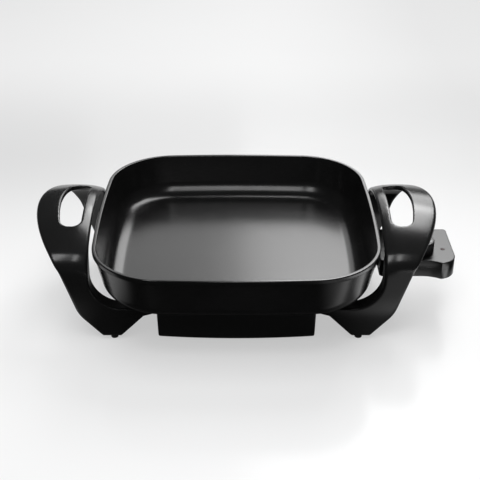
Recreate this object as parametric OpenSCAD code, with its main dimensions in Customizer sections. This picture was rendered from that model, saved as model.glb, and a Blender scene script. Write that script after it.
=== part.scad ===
// Electric skillet: a square cast pan carried by two arched mouldings, each a handle and two
// legs in one, with a boxed heat shield below and a plug-in temperature control at the right.
// Millimetres, +Z up. The table is z = 0, and the whole object is centred on X and Y.

/* [Pan] */
// Width of the pan across the middle of two sides
pan_w = 320; // [300:1:345]
// Radius of the pan's corners at the rim
pan_corner_r = 79; // [70:1:88]
// Radius of the slow bow along each side
pan_side_r = 1600; // [1000:50:2400]
// Height of the rim above the table
rim_z = 115; // [110:1:125]
// Height of the cooking floor above the table
pan_floor_z = 65; // [63:1:69]
// Thickness of the floor
pan_floor_t = 8; // [7:0.5:10]
// Thickness of the wall
pan_wall = 3.5; // [3:0.25:5]
// Lean of the wall from upright, in degrees
pan_draft = 12; // [9:1:16]
// Radius between the cooking floor and the wall
cove_r = 23; // [16:1:26]
// Radius between the underside and the wall
pan_bottom_r = 26; // [20:1:29]
// Height of the thicker band around the rim
lip_h = 6.5; // [5:0.5:9]
// How far that band stands out from the wall
lip_out = 2; // [1:0.25:2.5]
// Rounding of the rim's edges
rim_r = 1.2; // [0.6:0.1:1.4]

/* [Handles and legs] */
// Gap between the rim and a handle
handle_gap = 3; // [2:0.5:8]
// Height of the top of a handle
handle_top_z = 130.5; // [127:0.5:136]
// Width of a handle across its grip
handle_w = 66; // [60:0.5:74]
// Radius of the grip's outer edge, seen from above
grip_plan_r = 170; // [150:5:210]
// Height where a leg starts to flare out into the grip
flare_z = 88; // [82:1:92]
// Width of a leg at that height
flare_w = 32; // [28:1:36]
// Height of the neck, where the flare meets the grip
neck_z = 102; // [99:1:106]
// Width of a handle at the neck
neck_w = 42; // [39:1:46]
// Height of the knee where a leg turns in to its foot
knee_z = 33; // [26:1:38]
// Width of a leg at the knee, outside the handle's inner edge
knee_w = 14; // [8:1:20]
// How far the outer edge of a leg's end stands inside the handle's inner edge
foot_inset = 12; // [8:1:18]
// Width of a leg's end
leg_end_w = 21; // [18:1:26]
// Depth of a leg, front to back
leg_t = 19; // [14:1:24]
// How far the legs stand in from the front and rear of the pan
leg_inset = 63; // [55:1:70]
// Radius of the arch over the top of the grip
crown_r = 165; // [155:5:200]
// Radius of the shoulder where the arch bends down into a leg
shoulder_r = 28; // [20:1:32]
// Thickness of the grip
grip_t = 6; // [5:0.5:9]
// Radius under the pan between a leg and its arm
arm_r = 36; // [24:1:42]
// Height of the top of the arms that carry the pan
arm_top_z = 41; // [38:1:44]
// Thickness of an arm
arm_t = 10; // [9:0.5:13]
// Width of the bar between the hand opening and the pan
inner_bar_w = 11.5; // [8:0.5:16]
// Width of the hand opening at its middle
slot_w = 28.5; // [24:0.5:32]
// Radius of the hand opening's outer edge, seen from above
slot_bow_r = 220; // [180:10:400]
// How far the hand opening ends inside the legs' outer faces
slot_end = 45; // [40:1:52]
// Corner radius of the hand opening
slot_r = 11; // [5:1:11]

/* [Feet] */
// Radius of a rubber foot
foot_r = 4.2; // [3.8:0.2:6]
// Height of a rubber foot
foot_h = 5; // [3:0.5:7]
// Radius of the stem that plugs into the leg
foot_stem_r = 2.5; // [1.5:0.25:3]
// Length of that stem
foot_stem_l = 6; // [4:0.5:10]
// How far a foot's centre stands behind its leg's outer face
foot_back = 7; // [6:0.5:10]
// How far a foot's centre stands outside the inner edge of its leg's end
foot_side = 8.5; // [7:0.5:12]

/* [Pan bosses] */
// How far the bosses that take the handles stand inside the pan's sides
boss_inset = 58; // [56:1:62]
// Radius of those bosses
boss_r = 7.5; // [6:0.5:8]
// Distance of the heat shield's posts from the middle of the pan
post_d = 40; // [30:1:46]
// Radius of a post above the reflector plate
post_r = 7; // [5.5:0.5:9]
// Radius of a post below the reflector plate
post_end_r = 4; // [3.5:0.25:5]
// Radius of the machine screws in the bosses and posts
pan_screw_r = 2; // [1.5:0.1:2.5]
// Length of thread in a boss or a post
pan_thread_l = 11; // [8:1:13]

/* [Heat shield] */
// How far the shield's sides stand inside the pan's sides
shield_side_inset = 70; // [68:1:80]
// How far the middle of the shield's front stands inside the pan's front
shield_front_inset = 58; // [56:1:70]
// Bow of the shield's front and rear
shield_bow = 5; // [2:0.5:8]
// How much narrower the shield is at its bottom, on each side
shield_draft = 1.5; // [0.5:0.25:3]
// Corner radius of the shield
shield_corner_r = 4; // [2:0.5:8]
// Clearance between the shield and the table
shield_z = 3.5; // [3:0.25:6]
// Thickness of the shield's sheet
shield_t = 1.5; // [1:0.1:2]
// Height of the reflector plate above the table
reflector_z = 38; // [30:1:44]
// Thickness of the reflector plate
reflector_t = 1; // [0.6:0.1:1.5]
// Gap between the reflector plate and the shield
reflector_gap = 3; // [1.5:0.5:6]
// Wall of the spacer sleeves
sleeve_wall = 2.4; // [1.5:0.1:2.8]

/* [Heating element] */
// Radius of the heating tube
element_r = 3.5; // [2.5:0.1:4]
// Half the width of its loop
loop_half = 68; // [62:1:74]
// Corner radius of its loop
loop_r = 25; // [20:1:30]
// Radius where the tube turns out to its terminals
lead_r = 12; // [8:1:16]

/* [Terminals] */
// Distance of each terminal pin from the middle
pin_y = 11; // [9.5:0.5:13]
// Radius of a terminal pin
pin_r = 2.4; // [2:0.1:2.8]
// Length of a terminal pin
pin_l = 23.4; // [22:0.2:28]
// Wall of a ceramic terminal bush
bush_wall = 1; // [0.8:0.1:1.5]
// How far the terminal block's face stands out past the wall above it
block_stand = 0.8; // [0.4:0.1:3]
// Length of the terminal block
block_l = 28; // [24:1:32]
// Thickness of the terminal guard
guard_t = 1.5; // [1:0.1:2]
// Length of the terminal guard
guard_l = 19; // [18:1:24]
// Width of each of the guard's fixing ears
ear_w = 10; // [9:0.5:12]
// Radius of the guard's screws
guard_screw_r = 1.5; // [1.2:0.1:2]

/* [Control housing] */
// Gap between the guard's mouth and the housing
housing_gap = 1.4; // [1:0.2:4]
// Length of the housing
housing_l = 88; // [80:1:96]
// Distance of the straight front wall from the middle
housing_front = 38; // [36:0.5:42]
// Distance of the rear wall from the middle
housing_rear = 38; // [34:0.5:42]
// How far the front flares out at its outer corner
housing_flare = 6.5; // [4:0.5:8]
// Length of that flare
flare_l = 22; // [18:1:26]
// Radius of the outer front corner
housing_corner_r = 20; // [16:1:24]
// Radius of the rear corners
housing_rear_r = 4; // [3:0.5:8]
// Depth of the housing below the terminal pins
housing_below = 9; // [8.5:0.25:11]
// Height of the housing above the terminal pins
housing_above = 13; // [12:0.5:16]
// Height of the joint between the two halves above the terminal pins
housing_split = 4; // [3:0.5:5]
// Wall of the housing
housing_wall = 2; // [1.6:0.1:2.5]
// Radius of the housing's screws
housing_screw_r = 1.4; // [1.1:0.1:1.6]
// How far those screws stand inside the walls
housing_screw_inset = 7; // [6:0.5:9]

/* [Control plug] */
// Width of the nose that plugs into the guard
nose_w = 35; // [33:0.5:38]
// Height of the nose
nose_h = 12; // [10:0.5:13]
// Length of the nose outside the housing
nose_l = 17; // [15:1:18]
// Radius of the sensor tube
sensor_r = 3; // [2.5:0.1:3.5]
// Length of the sensor tube outside the nose
sensor_l = 44; // [36:1:46]
// Wall of a contact sleeve
contact_wall = 1.15; // [0.8:0.05:1.4]
// Length of a contact sleeve
contact_l = 26; // [22:1:27]

/* [Knob] */
// Distance of the knob's axis from the housing's outer end
knob_from_end = 38; // [34:1:44]
// Distance of the knob's axis in front of the middle
knob_y = 14; // [10:1:18]
// Radius of the knob
knob_r = 15; // [12:0.5:17]
// Height of the knob
knob_h = 13.6; // [10:0.2:18]
// Gap below the knob
knob_gap = 0.4; // [0.3:0.1:0.8]
// Number of grip flutes around the knob
knob_flutes = 30; // [20:1:36]
// Radius of the knob's shaft
shaft_r = 3; // [2.5:0.1:3.5]
// Radius of the cap on top of the knob
cap_r = 12.6; // [10:0.1:13.2]
// Length of the pointer on the cap
pointer_l = 7; // [5:0.5:9]
// Direction of the pointer at rest, in degrees from +X
pointer_turn = -20; // [-180:5:180]

/* [Lamp and cord gland] */
// Distance of the lamp from the housing's outer end
lamp_from_end = 12; // [10:0.5:13]
// Distance of the lamp in front of the middle
lamp_y = 12; // [6:1:16]
// Radius of the lamp's lens
lens_r = 2.6; // [2:0.1:4]
// Distance of the cord gland from the housing's outer end
gland_from_end = 19; // [17:0.5:24]
// Radius of the cord gland
gland_r = 8; // [7:0.25:8.5]
// Length of the gland outside the housing
gland_l = 12; // [8:1:16]
// Radius of the cord hole
cord_r = 3.6; // [3:0.1:4]

/* [Fits] */
// Clearance around what is only seated
seat_gap = 0.05; // [0.02:0.01:0.1]
// Clearance around what turns or plugs in
running_gap = 0.04; // [0.02:0.01:0.08]
// Clearance around the nose in its guard
nose_gap = 0.6; // [0.4:0.1:1]
// Clearance of a screw in the piece that it holds
screw_gap = 0.3; // [0.2:0.05:0.5]

/* [Hidden] */
$fn = 72;
arc_step = 7;        // largest turn between two points of a drawn arc, in degrees
through = 1;         // how far a cut runs past the faces that it opens
cast_black = "#17171a";
moulded_black = "#1f1f22";
gloss_black = "#26262a";
steel = "#b9bcc0";
ceramic = "#e6e1d6";
brass_tone = "#c7a24a";
rubber_black = "#101012";
lamp_amber = "#7a1f18";
mark_white = "#f2f2f0";

// Pan outline: four side arcs and four corner arcs that meet in tangents
half = pan_w / 2;
side_c = half - pan_side_r;
arc_gap = pan_side_r - pan_corner_r;
corner_c = (side_c + sqrt(2 * arc_gap * arc_gap - side_c * side_c)) / 2;
side_a = atan2(corner_c, corner_c - side_c);

// Pan section: x is measured outwards from the rim, and y is the height
pan_bottom_z = pan_floor_z - pan_floor_t;
floor_step = 0.3;    // how far both faces of the floor stand out from the ring around it
ring_floor_z = pan_floor_z - floor_step;
ring_bottom_z = pan_bottom_z + floor_step;
band_z = rim_z - lip_h;
wall_w = pan_wall / cos(pan_draft);
cove_z = ring_floor_z + cove_r;
cove_x = inner_at(cove_z - cove_r * sin(pan_draft)) - cove_r * cos(pan_draft);
under_z = ring_bottom_z + pan_bottom_r;
under_x = outer_at(under_z - pan_bottom_r * sin(pan_draft)) - pan_bottom_r * cos(pan_draft);
floor_lap = 3;       // how far the swept ring runs in past its roundings
plate_edge = 1;      // how far the floor plate stays inside those roundings
core_x = min(cove_x, under_x) - floor_lap;
plate_inset = plate_edge - min(cove_x, under_x);
side_points = 7;     // points along each side and around each corner of that plate
corner_points = 9;
boss_root = 4;       // how far bosses reach into the floor
block_root = 5;      // how far the terminal block reaches into it
root_z = pan_bottom_z + boss_root;
screw_room = 1;      // room between a screw's end and the bottom of its hole

// Handles
inner_u = half + handle_gap;
leg_y = half - leg_inset;
boss_u = half - boss_inset;
boss_y = leg_y - leg_t / 2;
arm_past = 1;        // how far an arm runs on past its boss
arm_end_u = boss_u - boss_r - arm_past;
arm_end_r = 1;       // rounding of the top of an arm's end
arm_lift = 3;        // how much thinner an arm is at its end
arm_lift_r = 2;      // roundings of the underside of that end
arm_bend = 2;        // where that thinning starts, outside the boss
arm_bend_r = 3;
leg_end_r = 2;       // rounding of a leg's end
knee_r = 40;         // rounding of the knee
grip_flare_r = 30;   // rounding where the leg flares out
neck_r = 40;         // rounding of the neck
flare_drop = 2;      // how far the flare ends below the grip's underside
under_shoulder_r = 14;
crown_c = handle_top_z - crown_r;
under_crown_r = crown_r - grip_t;
under_leg_y = leg_y - leg_t;
under_shoulder_z = bend_z(under_crown_r, under_leg_y, under_shoulder_r);
handle_reach = inner_u + handle_w;
leg_foot_u = inner_u - foot_inset - leg_end_w + foot_side;
foot_y = leg_y - foot_back;
handle_head_r = 2 * pan_screw_r;
handle_head_h = 3;
counterbore = 4;     // depth of the seat of a handle screw's head
handle_seat_z = arm_top_z - arm_t + counterbore;

// Heat shield
shield_half_w = half - shield_side_inset;
shield_half_d = half - shield_front_inset;
shield_top_z = pan_bottom_z;
notch_gap = 2;       // room around the leads in the shield's notch
notch_half_w = pin_y + element_r + notch_gap;
notch_z = pan_bottom_z - element_r - notch_gap;
shield_head_r = 2 * pan_screw_r;
shield_head_h = 2;

// Terminals and control
pin_z = pan_bottom_z;
bush_r = element_r + seat_gap + bush_wall;
guard_half_w = nose_w / 2 + nose_gap;
guard_half_h = nose_h / 2 + nose_gap;
block_x = half + face_at(pin_z + guard_half_h + guard_t) + block_stand;
block_half_w = guard_half_w + guard_t + ear_w;
block_drop = 10;     // how far the terminal block reaches below the pins
block_low_z = pin_z - block_drop;
block_top_z = pan_bottom_z + block_root;
pin_seat = 2;        // how far a pin starts inside the block's face
lead_end_x = block_x - pin_seat;
bush_stand = 1;      // how far a bush stands out of the guard's plate
guard_head_r = 1.8 * guard_screw_r;
guard_head_h = 2;
ear_y = guard_half_w + guard_t + ear_w / 2;
housing_x0 = block_x + guard_l + housing_gap;
housing_x1 = housing_x0 + housing_l;
housing_z0 = pin_z - housing_below;
housing_z1 = pin_z + housing_above;
split_z = pin_z + housing_split;
housing_floor_z = housing_z0 + housing_wall;
housing_roof_z = housing_z1 - housing_wall;
corner_x = housing_x1 - housing_corner_r;
corner_y = housing_corner_r - housing_front - housing_flare;
crease_a = -83;      // direction of the crease from the corner's centre, in degrees
crease = [corner_x, corner_y] + housing_corner_r * [cos(crease_a), sin(crease_a)];
crease_drop = -housing_front - crease.y;
flare_r = (flare_l * flare_l + crease_drop * crease_drop) / (2 * crease_drop);
flare_x = crease.x - flare_l;
nose_x = housing_x0 - nose_l;
nose_flange_t = 3;
nose_flange = 1.5;
sensor_tip_x = nose_x - sensor_l;
sensor_inner_l = 20; // length of the sensor tube inside the housing
sensor_end_x = housing_x0 + sensor_inner_l;
well_room = 2;       // room beyond the sensor's tip in its well
contact_r = pin_r + running_gap + contact_wall;
contact_inset = 4;   // how far a contact sleeve starts inside the nose
contact_x = nose_x + contact_inset;
knob_x = housing_x1 - knob_from_end;
knob_z = housing_z1 + knob_gap;
knob_top_t = 4;      // thickness of the knob above its shaft
shaft_top_z = knob_z + knob_h - knob_top_t;
cap_t = 0.8;
pointer_t = 0.5;
pointer_w = 2;
pointer_edge = 1;    // how far the pointer ends inside the cap's edge
knob_bush_wall = 2;
knob_bush_r = shaft_r + running_gap + knob_bush_wall;
knob_flange_t = 2;
knob_flange_w = 1.5;
end_play = 0.3;      // room at each end of the knob's shaft
clip_t = 1;
clip_w = 2;
clip_mouth = 3;
clip_z = housing_roof_z - knob_flange_t - clip_t - end_play;
clip_groove = 0.5;
blade_t = 0.6;
blade_half_w = 5;
switch_l = 14;
switch_back = 36;    // how far the switch's fixed end stands from the knob's axis
switch_x = knob_x - switch_back;
switch_h = 6;
spacer_h = 2.4;
spacer_side = 2;     // how much wider the spacer is than the blades, on each side
contact_h = 1;
blade_contact_r = 2;
contact_back = 6;    // how far the contacts stand from the knob's axis
fixed_end = 4;       // how far each blade runs on past that axis
moving_end = 6;
fixed_z = housing_floor_z + switch_h;
moving_z = fixed_z + blade_t + spacer_h;
shaft_low_z = moving_z + blade_t + end_play;
lamp_x = housing_x1 - lamp_from_end;
lamp_seat_h = 2;
lamp_seat_z = housing_floor_z + lamp_seat_h;
lamp_r = 3;
lamp_post_r = lamp_r + 1;
lamp_h = 10;
lens_flange = 1.4;
lens_flange_t = 1.5;
lens_stand = 0.3;    // how far the lens stands out of the housing
gland_x = housing_x1 - gland_from_end;
gland_step = 2;      // how much wider the gland is than its neck
gland_neck_r = gland_r - gland_step;
gland_inner_l = 3;
gland_roof_gap = 0.2;
gland_inner_r = housing_roof_z - split_z - gland_roof_gap;
housing_head_r = 2.1 * housing_screw_r;
housing_head_h = 2;
housing_seat_h = 2.5;
housing_seat_z = housing_z0 + housing_seat_h;
housing_post_wall = 1.2;
housing_post_r = housing_head_r + housing_post_wall;
pan_x = (handle_reach - housing_x1) / 2;

// The wall's outer and inner faces at a height, as distances outwards from the rim
function outer_at(z) = -lip_out - (band_z - z) * tan(pan_draft);
function inner_at(z) = outer_at(z) - wall_w;

// The outside of the pan at a height, with the rounding of its bottom
function face_at(z) = z > under_z - pan_bottom_r * sin(pan_draft) ? outer_at(z) :
    under_x + sqrt(pan_bottom_r * pan_bottom_r - (under_z - z) * (under_z - z));

// Points along an arc, both ends included
function arc(c, r, from, to, least = 2) =
    let (n = max(least, ceil(abs(to - from) / arc_step)))
    [for (i = [0:n]) c + r * [cos(from + (to - from) * i / n), sin(from + (to - from) * i / n)]];

// A direction from one point to another, and the centre of the fillet in the corner at b
function toward(a, b) = (b - a) / norm(b - a);
function fillet_half(a, b, c) = acos(toward(b, a) * toward(b, c)) / 2;
function fillet_centre(a, b, c, r) =
    let (mid = toward(b, a) + toward(b, c))
    b + mid / norm(mid) * r / sin(fillet_half(a, b, c));
function angle_of(v) = atan2(v.y, v.x);
function short_turn(a) = a > 180 ? a - 360 : a < -180 ? a + 360 : a;
function fillet(a, b, c, r) = r == 0 ? [b] :
    let (m = fillet_centre(a, b, c, r))
    let (reach = r / tan(fillet_half(a, b, c)))
    let (from = angle_of(b + toward(b, a) * reach - m))
    let (turn = short_turn(angle_of(b + toward(b, c) * reach - m) - from))
    arc(m, r, from, from + turn);

// A closed outline from [x, y, fillet radius] corners
function xy(p) = [p.x, p.y];
function rounded(path) = [for (i = [0:len(path) - 1])
    let (last = path[(i + len(path) - 1) % len(path)], next = path[(i + 1) % len(path)])
    each fillet(xy(last), xy(path[i]), xy(next), path[i].z)];

// The floor plate's outline: its points stand between the ends of the arcs, clear of the ring's joints
function arc_middles(c, r, from, to, n) =
    [for (i = [0:n - 1]) let (a = from + (to - from) * (i + 0.5) / n) c + r * [cos(a), sin(a)]];
function plate_outline() =
    let (side = arc_middles([side_c, 0], pan_side_r - plate_inset, -side_a, side_a, side_points))
    let (corner_r = pan_corner_r - plate_inset)
    let (corner = arc_middles([corner_c, corner_c], corner_r, side_a, 90 - side_a, corner_points))
    [for (q = [0:3]) each [for (p = concat(side, corner))
        [p.x * cos(90 * q) - p.y * sin(90 * q), p.x * sin(90 * q) + p.y * cos(90 * q)]]];

function pan_section() =
    let (inner_edge_z = rim_z - rim_r + rim_r * sin(pan_draft))
    concat([[core_x, ring_bottom_z]],
        arc([under_x, under_z], pan_bottom_r, -90, -pan_draft),
        [[outer_at(band_z), band_z], [0, band_z + lip_out]],
        arc([-rim_r, rim_z - rim_r], rim_r, 0, 90),
        arc([inner_at(inner_edge_z) + rim_r * cos(pan_draft), rim_z - rim_r], rim_r, 90, 180 - pan_draft),
        arc([cove_x, cove_z], cove_r, -pan_draft, -90),
        [[core_x, ring_floor_z]]);

// Front view of a handle: x is measured outwards from the middle of the pan
function handle_front() = rounded([
    [inner_u - foot_inset, foot_h, leg_end_r],
    [inner_u + knee_w, knee_z, knee_r],
    [inner_u + flare_w, flare_z, grip_flare_r],
    [inner_u + neck_w, neck_z, neck_r],
    [handle_reach + through, handle_top_z - grip_t - flare_drop, 0],
    [handle_reach + through, handle_top_z + through, 0],
    [inner_u, handle_top_z + through, 0],
    [inner_u, arm_top_z, arm_r],
    [arm_end_u, arm_top_z, arm_end_r],
    [arm_end_u, arm_top_z - arm_t + arm_lift, arm_lift_r],
    [boss_u + arm_bend, arm_top_z - arm_t, arm_bend_r],
    [inner_u - foot_inset - leg_end_w, foot_h, leg_end_r]]);

// One face of the arch: an upright leg at y, a bend of radius r and the crown over to the other leg
function bend_z(crown, y, r) = crown_c + sqrt((crown - r) * (crown - r) - (y - r) * (y - r));
function arch_face(crown, y, r) =
    let (z = bend_z(crown, y, r))
    let (meet = atan2(z - crown_c, y - r))
    concat([[y, foot_h]], arc([y - r, z], r, 0, meet), arc([0, crown_c], crown, meet, 180 - meet, 24),
        arc([r - y, z], r, 180 - meet, 180), [[-y, foot_h]]);

// Side view of a handle: an arch on two legs
function reversed(path) = [for (i = [len(path) - 1:-1:0]) path[i]];
function handle_side() = concat(arch_face(crown_r, leg_y, shoulder_r),
    reversed(arch_face(under_crown_r, under_leg_y, under_shoulder_r)));

// Plan of a handle: its outer edge bows out from leg to leg
function handle_plan() =
    let (turn = asin((leg_y + through) / grip_plan_r))
    concat([[arm_end_u - through, leg_y + through], [arm_end_u - through, -leg_y - through]],
        arc([handle_reach - grip_plan_r, 0], grip_plan_r, -turn, turn, 24));

function shield_outline(inset) =
    let (w = shield_half_w - inset, d = shield_half_d - inset)
    let (bow_r = (w * w + shield_bow * shield_bow) / (2 * shield_bow), bow_a = asin(w / bow_r))
    let (front = arc([0, d - bow_r], bow_r, 90 - bow_a, 90 + bow_a, 12))
    rounded(concat(
        [for (i = [0:len(front) - 1])
            [front[i].x, front[i].y, i == 0 || i == len(front) - 1 ? shield_corner_r : 0]],
        [for (i = [0:len(front) - 1])
            [-front[i].x, -front[i].y, i == 0 || i == len(front) - 1 ? shield_corner_r : 0]]));

function housing_outline() =
    let (front_in = [housing_x0, -housing_front])
    let (rear_in = [housing_x0, housing_rear], rear_out = [housing_x1, housing_rear])
    concat(
    fillet([flare_x, -housing_front], front_in, rear_in, housing_rear_r),
    fillet(front_in, rear_in, rear_out, housing_rear_r),
    fillet(rear_in, rear_out, [housing_x1, corner_y], housing_rear_r),
    arc([corner_x, corner_y], housing_corner_r, 0, crease_a),
    arc([flare_x, -housing_front - flare_r], flare_r, 90 - asin(flare_l / flare_r), 90));

function housing_cavity() =
    let (front = housing_front - housing_wall, r = housing_corner_r - housing_wall)
    concat([[housing_x0 + housing_wall, -front], [housing_x0 + housing_wall, housing_rear - housing_wall],
            [housing_x1 - housing_wall, housing_rear - housing_wall]],
        arc([corner_x, corner_y], r, 0, -asin(min(1, (front + corner_y) / r))));

// Everything is drawn about the middle of the pan, then moved to centre the whole object
module placed() {
    translate([pan_x, 0, 0]) children();
}

module at_four(x, y) {
    for (sx = [-1, 1], sy = [-1, 1]) translate([sx * x, sy * y, 0]) children();
}

module at_pair(y) {
    for (s = [-1, 1]) translate([0, s * y, 0]) children();
}

// Turns what stands on Z so that it points along X, at the height of the terminal pins
module along_x(x) {
    translate([x, 0, pin_z]) rotate([0, 90, 0]) children();
}

module rod(r, h) {
    cylinder(r = r, h = h);
}

module tube(outer_r, inner_r, h) {
    difference() {
        cylinder(r = outer_r, h = h);
        translate([0, 0, -through]) cylinder(r = inner_r, h = h + 2 * through);
    }
}

// A slotted screw: its head stands on z = 0 and its shank hangs below
module screw(shank_r, shank_l, head_r, head_h) {
    slot = shank_r / 2;
    difference() {
        union() {
            translate([0, 0, -shank_l]) cylinder(r = shank_r, h = shank_l);
            cylinder(r = head_r, h = head_h);
        }
        translate([-head_r - through, -slot / 2, head_h / 2]) cube([2 * (head_r + through), slot, head_h]);
    }
}

// Sweeps a section around the pan's outline
module along_rim() {
    for (q = [0:3]) rotate(90 * q) {
        translate([side_c, 0, 0]) rotate(-side_a) rotate_extrude(angle = 2 * side_a, $fn = 180)
            translate([pan_side_r, 0]) children();
        translate([corner_c, corner_c, 0]) rotate(side_a) rotate_extrude(angle = 90 - 2 * side_a)
            translate([pan_corner_r, 0]) children();
    }
}

// A quarter turn of the heating tube
module tube_bend(bend_r, r) {
    rotate_extrude(angle = 90) translate([bend_r, 0]) circle(r);
}

// One half of the heating tube: a lead, its bend and half of the square loop
module element_half(r) {
    straight = loop_half - loop_r;
    lead_x = loop_half + lead_r;
    translate([lead_x, pin_y, 0]) rotate([0, 90, 0]) rod(r, lead_end_x - lead_x);
    translate([lead_x, pin_y + lead_r, 0]) rotate(180) tube_bend(lead_r, r);
    translate([loop_half, pin_y + lead_r, 0]) rotate([-90, 0, 0]) rod(r, straight - pin_y - lead_r);
    translate([straight, straight, 0]) tube_bend(loop_r, r);
    translate([-straight, loop_half, 0]) rotate([0, 90, 0]) rod(r, 2 * straight);
    translate([-straight, straight, 0]) rotate(90) tube_bend(loop_r, r);
    translate([-loop_half, 0, 0]) rotate([-90, 0, 0]) rod(r, straight);
}

module element_path(r) {
    translate([0, 0, pin_z]) {
        element_half(r);
        mirror([0, 1, 0]) element_half(r);
    }
}

// A threaded hole that opens downwards at z
module pan_thread(z) {
    translate([0, 0, z - through]) rod(pan_screw_r + seat_gap, pan_thread_l + through);
}

module pan() {
    post_low_z = shield_z + shield_t;
    color(cast_black) difference() {
        union() {
            along_rim() polygon(pan_section());
            translate([0, 0, pan_bottom_z]) linear_extrude(pan_floor_t) polygon(plate_outline());
            at_four(boss_u, boss_y) translate([0, 0, arm_top_z]) rod(boss_r, root_z - arm_top_z);
            at_four(post_d, post_d) {
                translate([0, 0, reflector_z + reflector_t])
                    rod(post_r, root_z - reflector_z - reflector_t);
                translate([0, 0, post_low_z]) rod(post_end_r, reflector_z + post_r - post_low_z);
            }
            translate([block_x - block_l, -block_half_w, block_low_z])
                cube([block_l, 2 * block_half_w, block_top_z - block_low_z]);
        }
        at_four(boss_u, boss_y) pan_thread(arm_top_z);
        at_four(post_d, post_d) pan_thread(post_low_z);
        along_x(sensor_tip_x - well_room)
            rod(sensor_r + running_gap, block_x - sensor_tip_x + well_room + through);
        at_pair(pin_y) along_x(block_x - block_l - through) rod(bush_r + seat_gap, block_l + 2 * through);
        at_pair(ear_y) along_x(block_x - pan_thread_l)
            rod(guard_screw_r + seat_gap, pan_thread_l + through);
        element_path(element_r + seat_gap);
    }
}

module heating_element() {
    color(steel) element_path(element_r);
}

module terminal_pins() {
    tip = pin_r / 2;
    color(brass_tone) at_pair(pin_y) along_x(lead_end_x) {
        rod(pin_r, pin_l - tip);
        translate([0, 0, pin_l - tip]) cylinder(r1 = pin_r, r2 = pin_r - tip, h = tip);
    }
}

module terminal_bushes() {
    color(ceramic) at_pair(pin_y) along_x(block_x - block_l)
        tube(bush_r, element_r + seat_gap, block_l + guard_t + bush_stand);
}

module terminal_guard() {
    color(steel) difference() {
        union() {
            translate([block_x, -block_half_w, pin_z - guard_half_h - guard_t])
                cube([guard_t, 2 * block_half_w, 2 * (guard_half_h + guard_t)]);
            translate([block_x, -guard_half_w - guard_t, pin_z - guard_half_h - guard_t])
                cube([guard_l, 2 * (guard_half_w + guard_t), 2 * (guard_half_h + guard_t)]);
        }
        translate([block_x + guard_t, -guard_half_w, pin_z - guard_half_h])
            cube([guard_l, 2 * guard_half_w, 2 * guard_half_h]);
        along_x(block_x - through) rod(sensor_r + screw_gap, guard_t + 2 * through);
        at_pair(pin_y) along_x(block_x - through) rod(bush_r + seat_gap, guard_t + 2 * through);
        at_pair(ear_y) along_x(block_x - through) rod(guard_screw_r + screw_gap, guard_t + 2 * through);
    }
}

module guard_screws() {
    color(steel) at_pair(ear_y) along_x(block_x + guard_t)
        screw(guard_screw_r, pan_thread_l - screw_room, guard_head_r, guard_head_h);
}

// The right-hand moulding; the left-hand one is its mirror image
module handle() {
    slot_half = leg_y - slot_end;
    slot_out = inner_u + inner_bar_w + slot_w;
    color(moulded_black) difference() {
        intersection() {
            translate([arm_end_u - through, 0, 0]) rotate([90, 0, 90])
                linear_extrude(handle_reach - arm_end_u + 2 * through) polygon(handle_side());
            translate([0, leg_y + through, 0]) rotate([90, 0, 0])
                linear_extrude(2 * (leg_y + through)) polygon(handle_front());
            linear_extrude(handle_top_z + through) polygon(handle_plan());
        }
        translate([0, 0, under_shoulder_z]) intersection() {
            linear_extrude(handle_top_z) polygon(rounded([
                [inner_u + inner_bar_w, -slot_half, slot_r],
                [slot_out, -slot_half, slot_r],
                [slot_out, slot_half, slot_r],
                [inner_u + inner_bar_w, slot_half, slot_r]]));
            translate([slot_out - slot_bow_r, 0, -through]) rod(slot_bow_r, handle_top_z + 2 * through);
        }
        at_pair(boss_y) translate([boss_u, 0, 0]) {
            rod(pan_screw_r + screw_gap, arm_top_z + through);
            rod(handle_head_r + screw_gap, handle_seat_z);
        }
        at_pair(foot_y) translate([leg_foot_u, 0, 0])
            rod(foot_stem_r + seat_gap, foot_h + foot_stem_l + seat_gap);
    }
}

module left_handle() {
    mirror([1, 0, 0]) handle();
}

module right_handle() {
    handle();
}

module handle_screws() {
    shank_l = arm_top_z - handle_seat_z + pan_thread_l - screw_room;
    color(steel) at_four(boss_u, boss_y) translate([0, 0, handle_seat_z]) rotate([180, 0, 0])
        screw(pan_screw_r, shank_l, handle_head_r, handle_head_h);
}

// A rubber foot with a stem; x and y are -1 or 1 for the side that it stands on
module foot(x, y) {
    edge = foot_r / 5;
    color(rubber_black) translate([x * leg_foot_u, y * foot_y, 0]) rotate_extrude() polygon([
        [0, 0], [foot_r - edge, 0], [foot_r, edge], [foot_r, foot_h],
        [foot_stem_r, foot_h], [foot_stem_r, foot_h + foot_stem_l], [0, foot_h + foot_stem_l]]);
}

// The shield's outside, or its inside when inset by the sheet's thickness
module shield_form(inset, z) {
    top_z = shield_top_z + (inset > 0 ? through : 0);
    w = shield_half_w - inset;
    d = shield_half_d - inset;
    narrowing = [(w - shield_draft) / w, (d - shield_draft) / d];
    translate([0, 0, top_z]) mirror([0, 0, 1])
        linear_extrude(top_z - z, scale = narrowing, slices = 1, $fn = 8) polygon(shield_outline(inset));
}

module heat_shield() {
    color(moulded_black) difference() {
        shield_form(0, shield_z);
        shield_form(shield_t, shield_z + shield_t);
        translate([0, -notch_half_w, notch_z]) cube([half, 2 * notch_half_w, pan_bottom_z]);
        at_four(post_d, post_d) rod(pan_screw_r + screw_gap, shield_z + shield_t + through);
    }
}

module reflector_plate() {
    color(steel) translate([0, 0, reflector_z]) difference() {
        linear_extrude(reflector_t) polygon(shield_outline(shield_t + shield_draft + reflector_gap));
        at_four(post_d, post_d) translate([0, 0, -through])
            rod(post_end_r + seat_gap, reflector_t + 2 * through);
    }
}

module spacer_sleeves() {
    low_z = shield_z + shield_t;
    color(steel) at_four(post_d, post_d) translate([0, 0, low_z])
        tube(post_end_r + seat_gap + sleeve_wall, post_end_r + seat_gap, reflector_z - low_z);
}

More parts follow.
